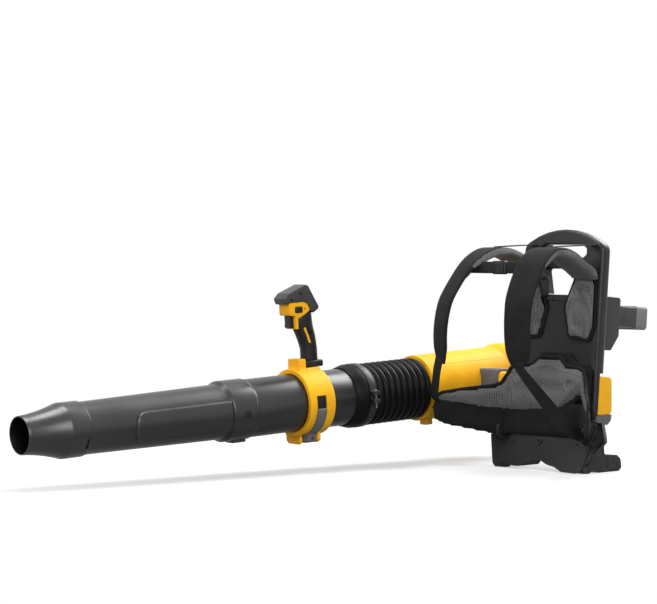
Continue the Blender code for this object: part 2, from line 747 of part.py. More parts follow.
def make_chest_strap(mats):
    """The strap across the chest, in two lengths that meet in a buckle."""
    inner_edge = strap_middle(CHEST_Z) - STRAP_WIDTH / 2 - CHEST_LAP
    half = CHEST_HEIGHT / 2
    for side, name in ((1, "chest_strap_left"), (-1, "chest_strap_right")):
        low, high = sorted((side * (BUCKLE_HALF + SEAT), side * inner_edge))
        place(name, box((low, CHEST_Y, CHEST_Z - half), (high, CHEST_Y + WEB_THICKNESS, CHEST_Z + half)),
              mats["fabric"])
    outline = rounded([(-BUCKLE_HALF, CHEST_Z - half * 1.15), (BUCKLE_HALF, CHEST_Z - half * 1.15),
                       (BUCKLE_HALF, CHEST_Z + half * 1.15), (-BUCKLE_HALF, CHEST_Z + half * 1.15)], 0.005, 3)
    place("chest_buckle", prism(outline, CHEST_Y - 0.003, CHEST_Y + 0.006, 1), mats["frame"])


def make_load_lifters(mats):
    """Short webbing from the top of each shoulder strap back to the frame's top corner."""
    for side, name in ((1, "load_lifter_left"), (-1, "load_lifter_right")):
        top_z = 0.4465
        back_y = front_line_y(top_z - WEB_THICKNESS) - SEAT - 0.0008
        path = [Vector((side * 0.072, -0.062, 0.4484)), Vector((side * 0.076, -0.010, 0.4476)),
                Vector((side * 0.080, back_y, top_z))]
        place(name, band(path, 0.020, WEB_THICKNESS, (1, 0, 0)), mats["fabric"])


# ================================================================== power pack
def housing_front(z):
    """Y where the electronics housing starts, just behind the thin lower part of the frame."""
    return front_line_y(z) + LOWER_DEPTH / math.cos(FRAME_LEAN) + SEAT


def make_electronics(mats):
    low, high = ELECTRONICS_LOW, ELECTRONICS_HIGH
    rear = ELECTRONICS_REAR
    outline = rounded([(housing_front(low), low), (rear, low), (rear, high - ELECTRONICS_FALL),
                       (housing_front(high), high)], 0.009, 3)
    housing = place("electronics_housing", prism(outline, ELECTRONICS_LEFT, ELECTRONICS_RIGHT, 0),
                    mats["yellow"])
    wall = HOUSING_WALL
    cut(housing, box((ELECTRONICS_LEFT + wall, housing_front(high) + wall, low - 0.02),
                     (ELECTRONICS_RIGHT - wall, rear - wall, high - wall - ELECTRONICS_FALL)))

    bumper_top = low - SEAT
    outline = [(housing_front(bumper_top), bumper_top), (housing_front(BUMPER_LOW) + 0.004, BUMPER_LOW + 0.003),
               (housing_front(BUMPER_LOW) + 0.008, BUMPER_LOW), (rear - 0.012, BUMPER_LOW),
               (rear - 0.003, BUMPER_LOW + 0.008), (rear, bumper_top)]
    bumper = place("electronics_bumper", prism(outline, ELECTRONICS_LEFT, ELECTRONICS_RIGHT, 0), mats["grey"])
    shelf = 0.008
    cut(bumper, box((ELECTRONICS_LEFT + wall, housing_front(high) + wall, BUMPER_LOW + shelf),
                    (ELECTRONICS_RIGHT - wall, rear - 2 * wall, low + 0.01)))

    board_low = BUMPER_LOW + shelf + SEAT
    posts = []
    board_y = (housing_front(high) + rear) / 2
    posts.append(box((ELECTRONICS_LEFT + 0.012, board_y, board_low),
                     (ELECTRONICS_RIGHT - 0.012, board_y + BOARD_THICKNESS, high - wall - 0.010)))
    board = place("controller_board", merged(posts), mats["board"])
    join(board, box((ELECTRONICS_LEFT + 0.030, board_y - 0.010, 0.130),
                    (ELECTRONICS_LEFT + 0.090, board_y + 0.001, 0.170)))
    join(board, box((ELECTRONICS_RIGHT - 0.100, board_y - 0.012, 0.125),
                    (ELECTRONICS_RIGHT - 0.060, board_y + 0.001, 0.165)))


def make_battery(mats, lean):
    """A dock on the back of the frame, and the battery pack that slides into it from the rear."""
    low, high = DOCK_LOW, DOCK_HIGH
    front = FRAME_DEPTH + SEAT
    outline = [(front, low + 0.020), (front + 0.016, low), (DOCK_REAR - 0.022, low), (DOCK_REAR, low + 0.030),
               (DOCK_REAR, high), (front, high)]
    dock = place("battery_dock", prism(rounded(outline, 0.006, 3), -DOCK_HALF, DOCK_HALF, 0), mats["frame"], lean)
    bay = (BATTERY_HALF + RUN, BATTERY_LOW - RUN, BATTERY_HIGH + RUN)
    bay_front = BATTERY_FRONT - TERMINAL_DEPTH
    cut(dock, box((-bay[0], bay_front, bay[1]), (bay[0], DOCK_REAR + 0.05, bay[2])))
    catch_y = DOCK_REAR - 0.016
    cut(dock, box((-RELEASE_HALF - RUN, catch_y - 0.006, BATTERY_HIGH - 0.001),
                  (RELEASE_HALF + RUN, DOCK_REAR + 0.05, BATTERY_HIGH + 0.004)))

    join(dock, box((-0.025, bay_front - 0.002, BATTERY_LOW + 0.006),
                   (0.025, BATTERY_FRONT - SEAT, BATTERY_HIGH - 0.006)))
    for x in (-0.015, 0.0, 0.015):
        cut(dock, box((x - 0.0015, BATTERY_FRONT - 0.007, BATTERY_LOW + 0.012),
                      (x + 0.0015, BATTERY_FRONT + 0.01, BATTERY_HIGH - 0.012)))

    wall = 0.003
    shell_rear = BATTERY_REAR - BATTERY_CAP_LENGTH
    section = rounded([(-BATTERY_HALF, BATTERY_LOW), (BATTERY_HALF, BATTERY_LOW),
                       (BATTERY_HALF, BATTERY_HIGH), (-BATTERY_HALF, BATTERY_HIGH)], 0.005, 2)
    shell = place("battery_shell", prism(section, BATTERY_FRONT, shell_rear, 1), mats["frame"], lean)
    cut(shell, box((-BATTERY_HALF + wall, BATTERY_FRONT + wall, BATTERY_LOW + wall),
                   (BATTERY_HALF - wall, shell_rear + 0.01, BATTERY_HIGH - wall)))
    release_top = BATTERY_HIGH
    cut(shell, box((-RELEASE_HALF - RUN, catch_y - 0.004 - RUN, BATTERY_HIGH - wall - 0.01),
                   (RELEASE_HALF + RUN, catch_y + 0.004 + RUN, BATTERY_HIGH + 0.01)))

    grow = BATTERY_CAP_GROWTH
    half = BATTERY_HALF + 0.001
    section = rounded([(-half, BATTERY_LOW - grow), (half, BATTERY_LOW - grow),
                       (half, BATTERY_HIGH + grow), (-half, BATTERY_HIGH + grow)], 0.007, 3)
    place("battery_cap", prism(section, shell_rear + SEAT, BATTERY_REAR, 1), mats["lever"], lean)

    headroom = RELEASE_TRAVEL + RUN
    cell_radius = (BATTERY_HIGH - BATTERY_LOW - 2 * wall - headroom) / 4 - SEAT
    count = 4
    middle = (BATTERY_LOW + BATTERY_HIGH - headroom) / 2
    web = BATTERY_HALF - wall - SEAT
    cells = place("battery_cells", box((-web, BATTERY_FRONT + 0.020, middle - 0.004),
                                       (web, shell_rear - 0.020, middle + 0.004)), mats["cells"], lean)
    for row in (-1, 1):
        for k in range(count):
            x = (k - (count - 1) / 2) * (2 * cell_radius + 2 * SEAT)
            shape = rod(cell_radius, BATTERY_FRONT + wall + SEAT, shell_rear - SEAT, 12)
            turn = Matrix.Rotation(-math.pi / 2, 4, "X")
            join(cells, moved(moved(shape, turn), Matrix.Translation((x, 0, middle + row * (cell_radius + SEAT)))))

    catch = place("battery_release",
                  box((-RELEASE_HALF, catch_y - 0.004, BATTERY_HIGH - wall + 0.0008),
                      (RELEASE_HALF, catch_y + 0.004, release_top + 0.0022)), mats["lever"], lean)
    return catch


# ================================================================== fan unit
def make_fan_housing(mats, tube):
    """Clamshell housing: a top cover above the seam, and the lower body below it."""
    inner = DUCT_RADIUS + 0.0043
    profile = [(HOUSING_RADIUS, HOUSING_NOSE), (HOUSING_RADIUS, BULGE_START),
               (HOUSING_BULGE, BULGE_START - 0.014), (HOUSING_BULGE, HOUSING_REAR + 0.006),
               (HOUSING_BULGE - 0.004, HOUSING_REAR), (inner + 0.004, HOUSING_REAR), (inner, HOUSING_REAR + 0.010),
               (inner, -FLANGE_LENGTH), (HOSE_BORE, HOUSING_NOSE - 0.004), (HOSE_BORE, HOUSING_NOSE)]
    wide = 0.2
    for name, low, high in (("fan_housing_upper", SEAM_HEIGHT + SEAT / 2, wide),
                            ("fan_housing_lower", -wide, SEAM_HEIGHT - SEAT / 2)):
        shell = place(name, turned(profile), mats["yellow"], tube)
        keep(shell, box((-wide, low, -wide * 2), (wide, high, wide)))
        if name == "fan_housing_lower":
            ear = box((0.0, -0.076, -0.022), (0.022, -0.060, -0.006))
            join(shell, ear)


def make_fan(mats, tube):
    """Stator, motor, rotor, shaft, bearings, tail cone and intake grille, from front to back."""
    stator = place("stator", pipe(DUCT_RADIUS + 0.004, DUCT_RADIUS, SHROUD_REAR, SHROUD_FRONT), mats["grey"], tube)
    join(stator, pipe(MOTOR_POD_RADIUS, MOTOR_RADIUS + SEAT, MOTOR_REAR, MOTOR_FRONT, 28))
    span = DUCT_RADIUS + 0.002 - MOTOR_POD_RADIUS + 0.001
    vanes = []
    for k in range(VANE_COUNT):
        vane = box((MOTOR_POD_RADIUS - 0.001, -0.00125, MOTOR_REAR + 0.012),
                   (MOTOR_POD_RADIUS - 0.001 + span, 0.00125, MOTOR_FRONT - 0.006))
        vanes.append(moved(vane, Matrix.Rotation(math.tau * k / VANE_COUNT, 4, "Z")))
    join(stator, merged(vanes))

    seat_radius = BEARING_RADIUS + SEAT
    bearing_seat = MOTOR_REAR + BEARING_WIDTH + SEAT
    shaft_hole = SHAFT_RADIUS + SEAT
    shaft_front = MOTOR_FRONT - 0.010
    place("motor", turned([(0, MOTOR_FRONT), (MOTOR_RADIUS, MOTOR_FRONT), (MOTOR_RADIUS, MOTOR_REAR),
                           (seat_radius, MOTOR_REAR), (seat_radius, bearing_seat), (shaft_hole, bearing_seat),
                           (shaft_hole, shaft_front + SEAT), (0, shaft_front + SEAT)], 28), mats["steel"], tube)
    place("motor_bearings", pipe(BEARING_RADIUS, SHAFT_RADIUS + 0.0002, MOTOR_REAR, MOTOR_REAR + BEARING_WIDTH, 24),
          mats["bright"], tube)
    cone = [(0, TAIL_TIP)]
    steps = 5
    for k in range(1, steps + 1):
        share = k / steps
        cone.append((MOTOR_POD_RADIUS * math.sin(share * math.pi / 2),
                     TAIL_TIP + (MOTOR_FRONT + SEAT - TAIL_TIP) * share))
    cone.append((0, MOTOR_FRONT + SEAT))
    place("tail_cone", turned(cone, 28), mats["grey"], tube)

    spin = empty("fan_spin_axis", (0, 0, ROTOR_FRONT), parent=tube)
    bore = SHAFT_RADIUS + 0.0001
    middle = (ROTOR_FRONT + ROTOR_REAR) / 2 - ROTOR_FRONT
    length = ROTOR_FRONT - ROTOR_REAR
    rotor = place("rotor", turned([(HUB_RADIUS, 0), (HUB_RADIUS, -length + 0.010), (HUB_RADIUS * 0.8, -length),
                                   (bore, -length), (bore, 0)], 28), mats["grey"], spin)
    reach = DUCT_RADIUS - 0.0015
    blades = []
    for k in range(BLADE_COUNT):
        blade = box((HUB_RADIUS - 0.002, -0.001, -0.011), (reach, 0.001, 0.011))
        pitch = Matrix.Rotation(math.radians(38), 4, "X")
        around = Matrix.Rotation(math.tau * k / BLADE_COUNT, 4, "Z")
        blades.append(moved(blade, Matrix.Translation((0, 0, middle)) @ around @ pitch))
    join(rotor, merged(blades))
    trim = pipe(DUCT_RADIUS + 0.02, reach - 0.0005, -length - 0.02, 0.02)
    cut(rotor, trim)
    place("rotor_shaft", rod(SHAFT_RADIUS, -length - 0.006, shaft_front - ROTOR_FRONT, 20), mats["bright"], spin)

    rim_outer = HOUSING_BULGE - 0.004
    rear = HOUSING_REAR - SEAT
    grille = place("intake_grille", pipe(rim_outer, rim_outer - 0.008, rear - GRILLE_LENGTH, rear), mats["frame"], tube)
    rings = [pipe(radius + 0.0015, radius - 0.0015, rear - GRILLE_LENGTH + 0.001, rear - 0.004, 20)
             for radius in (0.022, 0.044)]
    join(grille, merged(rings))
    bars = []
    for k in range(4):
        bar = box((-rim_outer + 0.004, -0.0016, rear - GRILLE_LENGTH + 0.0015),
                  (rim_outer - 0.004, 0.0016, rear - 0.0045))
        bars.append(moved(bar, Matrix.Rotation(math.pi * k / 4, 4, "Z")))
    for k, bar in enumerate(bars):
        join(grille, bar)


def make_fan_mount(mats, tube):
    """Bracket between the electronics housing and the round fan housing."""
    low, high = 0.120, 0.192
    outline = rounded([(0.030, low), (0.073, low), (0.073, high - 0.014), (0.062, high), (0.034, high)], 0.005, 2)
    right = ELECTRONICS_LEFT - SEAT
    mount = place("fan_mount", prism(outline, right - 0.070, right, 0), mats["grey"])
    tool = guide("fan_mount.saddle", rod(HOUSING_RADIUS + SEAT, -0.5, 0.3, ROUND_STEPS * 2), tube)
    combine(mount, "DIFFERENCE", tool)
    half = guide("fan_mount.half", box((-0.2, -0.2, -0.5), (0.0, 0.2, 0.3)), tube)
    combine(mount, "DIFFERENCE", half)


# ================================================================== hose
def ribbed(low, high, ribs):
    """A ribbed stretch with its bore; crests and roots take turns along it."""
    points = [(HOSE_BORE, low), (HOSE_ROOT, low)]
    pitch = (high - low) / ribs
    for k in range(ribs):
        root = low + pitch * k
        points += [(HOSE_ROOT, root + pitch * 0.10), (HOSE_CREST - 0.0012, root + pitch * 0.34),
                   (HOSE_CREST, root + pitch * 0.50), (HOSE_CREST - 0.0012, root + pitch * 0.66),
                   (HOSE_ROOT, root + pitch * 0.90)]
    points += [(HOSE_ROOT, high), (HOSE_BORE, high)]
    return turned(list(reversed(points)), ROUND_STEPS)


def make_hose(mats, tube):
    yaw = empty("hose_yaw_axis", (0, 0, (HOUSING_NOSE + HOSE_SPLIT) / 2), parent=tube)
    place("bellows_rear", ribbed(HOUSING_NOSE + SEAT, HOSE_SPLIT - SEAT / 2, REAR_RIBS), mats["hose"], tube)
    front = place("bellows_front", ribbed(HOSE_SPLIT + SEAT / 2, HOSE_END, FRONT_RIBS), mats["hose"], yaw)
    front.location.z = -yaw.location.z
    pitch_station = (HOSE_SPLIT + HOSE_END) / 2
    pitch = empty("hose_pitch_axis", (0, 0, pitch_station - yaw.location.z), parent=yaw)
    return pitch, pitch_station


def make_cuff(mats, pitch, offset):
    """The hose's front cuff with the clamp band that holds it, and the band's bolt."""
    frame = empty("cuff_frame", (0, 0, -offset), parent=pitch)
    inner = SWIVEL_RADIUS + SEAT
    place("bellows_cuff", turned([
        (CUFF_RADIUS - 0.005, CUFF_END), (CUFF_RADIUS, CUFF_END - CUFF_TAPER), (CUFF_RADIUS, CLAMP_BAND_END + 0.002),
        (CUFF_RADIUS - 0.002, CLAMP_BAND_END + 0.001), (CUFF_RADIUS - 0.002, CLAMP_BAND_START - 0.001),
        (HOSE_CREST - 0.002, HOSE_END + SEAT), (HOSE_BORE, HOSE_END + SEAT), (HOSE_BORE, SWIVEL_START - 0.002),
        (inner, SWIVEL_START - 0.0015), (inner, CUFF_END)]), mats["hose"], frame)
    band_inner = CUFF_RADIUS - 0.002 + SEAT
    band_outer = band_inner + CLAMP_BAND_THICKNESS
    clamp = place("hose_clamp", pipe(band_outer, band_inner, CLAMP_BAND_START, CLAMP_BAND_END), mats["frame"], frame)
    lug_low, lug_high = band_outer - 0.001, band_outer + 0.011
    bolt_x = (lug_low + lug_high) / 2 + 0.001
    for level in (-0.012, 0.004):
        join(clamp, box((band_inner + 0.0002, level, CLAMP_BAND_START), (lug_high, level + 0.008, CLAMP_BAND_END)))
    middle = (CLAMP_BAND_START + CLAMP_BAND_END) / 2
    turn = Matrix.Rotation(-math.pi / 2, 4, "X")
    cut(clamp, moved(moved(rod(0.0025 + SEAT, -0.05, 0.05, 14), turn), Matrix.Translation((bolt_x, 0, middle))))
    bolt = turned([(0, 0.0145), (0.0042, 0.0145), (0.0042, 0.0123), (0.0025, 0.0123), (0.0025, -0.022),
                   (0, -0.022)], 14)
    place("hose_clamp_bolt", moved(moved(bolt, turn), Matrix.Translation((bolt_x, 0, middle))), mats["steel"], frame)
    return frame


# ================================================================== blower tubes
def make_tubes(mats, frame):
    tube = empty("tube_swivel_axis", (0, 0, 0), parent=frame)
    swivel = place("swivel_tube", turned([
        (SWIVEL_RADIUS, SWIVEL_END), (SWIVEL_RADIUS, SWIVEL_START), (SWIVEL_RADIUS - TUBE_WALL, SWIVEL_START),
        (SWIVEL_RADIUS - TUBE_WALL, SWIVEL_END)]), mats["tube"], tube)
    lock_low, lock_high = LOCK_STATION - LOCK_HALF_LENGTH, LOCK_STATION + LOCK_HALF_LENGTH
    around = Matrix.Rotation(LOCK_ANGLE, 4, "Z")
    hole = box((SWIVEL_RADIUS - 0.010, -LOCK_HALF_WIDTH - RUN, lock_low - RUN),
               (SWIVEL_RADIUS + 0.010, LOCK_HALF_WIDTH + RUN, lock_high + RUN))
    cut(swivel, moved(hole, around))

    collar_inner = SWIVEL_RADIUS + SEAT
    ramp = 0.008
    wall = TUBE_WALL
    nozzle_seat = NOZZLE_START + 0.001
    front = place("front_tube", turned([
        (FRONT_END_RADIUS, FRONT_END), (FRONT_END_RADIUS + 0.0002, nozzle_seat),
        (FRONT_REAR_RADIUS, COLLAR_END + ramp + 0.02), (FRONT_REAR_RADIUS, COLLAR_END + ramp),
        (COLLAR_RADIUS, COLLAR_END), (COLLAR_RADIUS, COLLAR_START + 0.003), (COLLAR_RADIUS - 0.001, COLLAR_START),
        (collar_inner, COLLAR_START), (collar_inner, SWIVEL_END + SEAT), (FRONT_REAR_RADIUS - wall, SWIVEL_END + 0.003),
        (FRONT_REAR_RADIUS - wall, COLLAR_END + ramp + 0.02), (FRONT_END_RADIUS - wall, FRONT_END)]),
        mats["tube"], tube)
    hole = box((SWIVEL_RADIUS - 0.010, -LOCK_HALF_WIDTH - RUN, lock_low - RUN),
               (SWIVEL_RADIUS + 0.012, LOCK_HALF_WIDTH + RUN, lock_high + RUN))
    cut(front, moved(hole, around))
    join(front, box((-0.012, -COLLAR_RADIUS - 0.004, COLLAR_START + 0.004),
                    (0.012, -COLLAR_RADIUS + 0.0015, COLLAR_END - 0.022)))
    peg = moved(rod(PEG_RADIUS, FRONT_END_RADIUS - 0.0015, FRONT_END_RADIUS + 0.0024, 12),
                Matrix.Rotation(math.pi / 2, 4, "Y"))
    join(front, moved(peg, Matrix.Rotation(PEG_ANGLE, 4, "Z") @ Matrix.Translation((0, 0, PEG_STATION))))
    button = box((SWIVEL_RADIUS - TUBE_WALL - 0.0015, -LOCK_HALF_WIDTH, lock_low),
                 (COLLAR_RADIUS - 0.0004, LOCK_HALF_WIDTH, lock_high))
    place("lock_button", moved(button, around), mats["frame"], tube)

    inner = FRONT_END_RADIUS + 0.0006
    mouth_wall = NOZZLE_WALL
    nozzle = place("nozzle", turned([
        (NOZZLE_MOUTH_RADIUS, NOZZLE_MOUTH), (NOZZLE_NECK_RADIUS, NOZZLE_NECK),
        (NOZZLE_COLLAR_RADIUS, NOZZLE_COLLAR_END), (NOZZLE_COLLAR_RADIUS, NOZZLE_START + 0.002),
        (NOZZLE_COLLAR_RADIUS - 0.001, NOZZLE_START), (inner, NOZZLE_START), (inner, FRONT_END + SEAT),
        (NOZZLE_NECK_RADIUS - mouth_wall, NOZZLE_NECK - 0.001), (NOZZLE_MOUTH_RADIUS - mouth_wall, NOZZLE_MOUTH)]),
        mats["tube"], tube)
    margin = (PEG_RADIUS + RUN) / FRONT_END_RADIUS
    low_angle = PEG_ANGLE - NOZZLE_TWIST - margin
    high_angle = PEG_ANGLE + margin
    slot = (arc(NOZZLE_COLLAR_RADIUS + 0.01, low_angle, high_angle, 8)
            + arc(FRONT_END_RADIUS - 0.006, high_angle, low_angle, 8))
    cut(nozzle, prism(slot, PEG_STATION - PEG_RADIUS - RUN, PEG_STATION + PEG_RADIUS + RUN, 2))
    return tube


# ================================================================== handle
def make_clamp(mats, handle):
    """The split ring that grips the tube, its block, and the lever that draws the split shut."""
    ring = place("clamp_ring", turned([
        (RING_RADIUS - 0.001, RING_FRONT), (RING_RADIUS, RING_FRONT - 0.002), (RING_RADIUS, RING_REAR + 0.002),
        (RING_RADIUS - 0.001, RING_REAR), (SWIVEL_RADIUS + RUN, RING_REAR), (SWIVEL_RADIUS + RUN, RING_FRONT)]),
        mats["yellow"], handle)
    saddle = SWIVEL_RADIUS + RUN
    block = rounded([(-BLOCK_HALF - 0.012, 0.052), (BLOCK_HALF + 0.012, 0.052), (BLOCK_HALF, BLOCK_TOP - 0.018),
                     (BLOCK_HALF, BLOCK_TOP), (-BLOCK_HALF, BLOCK_TOP), (-BLOCK_HALF, BLOCK_TOP - 0.018)], 0.004, 2)
    join(ring, prism(block, FOOT_FRONT + 0.0005, BLOCK_FRONT, 2))
    shelf = rounded([(-BLOCK_HALF - 0.010, 0.052), (BLOCK_HALF + 0.010, 0.052), (BLOCK_HALF, SHELF_HEIGHT),
                     (-BLOCK_HALF, SHELF_HEIGHT)], 0.002, 2)
    join(ring, prism(shelf, RING_REAR, FOOT_FRONT + 0.002, 2))
    lug = rounded([(-0.034, -0.056), (-0.032, -0.074), (-0.014, -0.080), (-0.0135, -0.058)], 0.003, 2)
    join(ring, prism(lug, LEVER_STATION - CHANNEL_HALF, LEVER_STATION + CHANNEL_HALF + 0.003, 2))
    ear = [(0.012, -0.060), (-0.012, -0.060)] + arc(0.0075, math.radians(190), math.radians(350), 8,
                                                    (LEVER_PIVOT_X, LEVER_PIVOT_Y))
    join(ring, prism(ear, RING_REAR + 0.004, LEVER_STATION - CHANNEL_HALF - 0.001, 2))
    cut(ring, rod(saddle, RING_REAR - 0.05, BLOCK_FRONT + 0.05, ROUND_STEPS))
    channel = (arc(RING_RADIUS + 0.02, math.radians(-104), math.radians(13), 14)
               + arc(CHANNEL_RADIUS, math.radians(13), math.radians(-104), 14))
    cut(ring, prism(channel, LEVER_STATION - CHANNEL_HALF, LEVER_STATION + CHANNEL_HALF, 2))
    slit = moved(box((SWIVEL_RADIUS - 0.01, -SLIT_WIDTH / 2, RING_REAR - 0.05),
                     (RING_RADIUS + 0.02, SLIT_WIDTH / 2, RING_FRONT + 0.05)),
                 Matrix.Rotation(SLIT_ANGLE, 4, "Z"))
    cut(ring, slit)
    at_pivot = Matrix.Translation((LEVER_PIVOT_X, LEVER_PIVOT_Y, 0))
    cut(ring, moved(rod(LEVER_PIN_RADIUS + SEAT, RING_REAR + 0.008, RING_FRONT + 0.05, 16), at_pivot))

    half = CHANNEL_HALF - LEVER_CLEAR
    place("lever_pin", moved(rod(LEVER_PIN_RADIUS, RING_REAR + 0.008 + SEAT, LEVER_STATION + half + 0.0012, 16),
                             at_pivot), mats["steel"], handle)
    swing = empty("clamp_lever_axis", (LEVER_PIVOT_X, LEVER_PIVOT_Y, 0), parent=handle)
    heel = arc(LEVER_EYE, math.radians(115), math.radians(262), 8, (LEVER_PIVOT_X, LEVER_PIVOT_Y))
    knee = math.radians(-66)
    outline = (heel + [(0.024, -0.0795), (0.0295, -0.0740), (0.0300, -0.0670)]
               + arc(LEVER_OUTER, knee + 0.06, LEVER_TIP_ANGLE - 0.04, 8)
               + arc(LEVER_INNER, LEVER_TIP_ANGLE, math.radians(-86), 10))
    shape = prism(outline, LEVER_STATION - half, LEVER_STATION + half, 2)
    lever = place("clamp_lever", moved(shape, Matrix.Translation((-LEVER_PIVOT_X, -LEVER_PIVOT_Y, 0))),
                  mats["lever"], swing)
    cut(lever, rod(LEVER_PIN_RADIUS + SEAT, RING_REAR, RING_FRONT + 0.02, 16))


def grip_form():
    """An oval grip that leans back, as a stack of ovals from its foot to its head."""
    bm = bmesh.new()
    sides = 16
    rings = []
    for height, centre, deep, wide in ((FOOT_TOP + SEAT, 0.2722, 0.0172, GRIP_HALF * 0.92),
                                       (0.104, 0.2723, 0.0170, GRIP_HALF * 0.91),
                                       (0.131, 0.2788, 0.0202, GRIP_HALF * 0.95),
                                       (0.146, 0.2842, 0.0216, GRIP_HALF * 0.97),
                                       (0.174, 0.2872, 0.0216, GRIP_HALF), (0.184, 0.2880, 0.0216, GRIP_HALF)):
        ring = []
        for k in range(sides):
            turn = math.tau * (k + 0.5) / sides
            ring.append(bm.verts.new((wide * power(math.cos(turn)), height, centre + deep * power(math.sin(turn)))))
        rings.append(ring)
    for a, b in zip(rings, rings[1:]):
        for k in range(sides):
            m = (k + 1) % sides
            bm.faces.new((a[k], a[m], b[m], b[k]))
    bm.faces.new(rings[0])
    bm.faces.new(list(reversed(rings[-1])))
    return bm


def power(value, exponent=0.85):
    return math.copysign(abs(value) ** exponent, value)


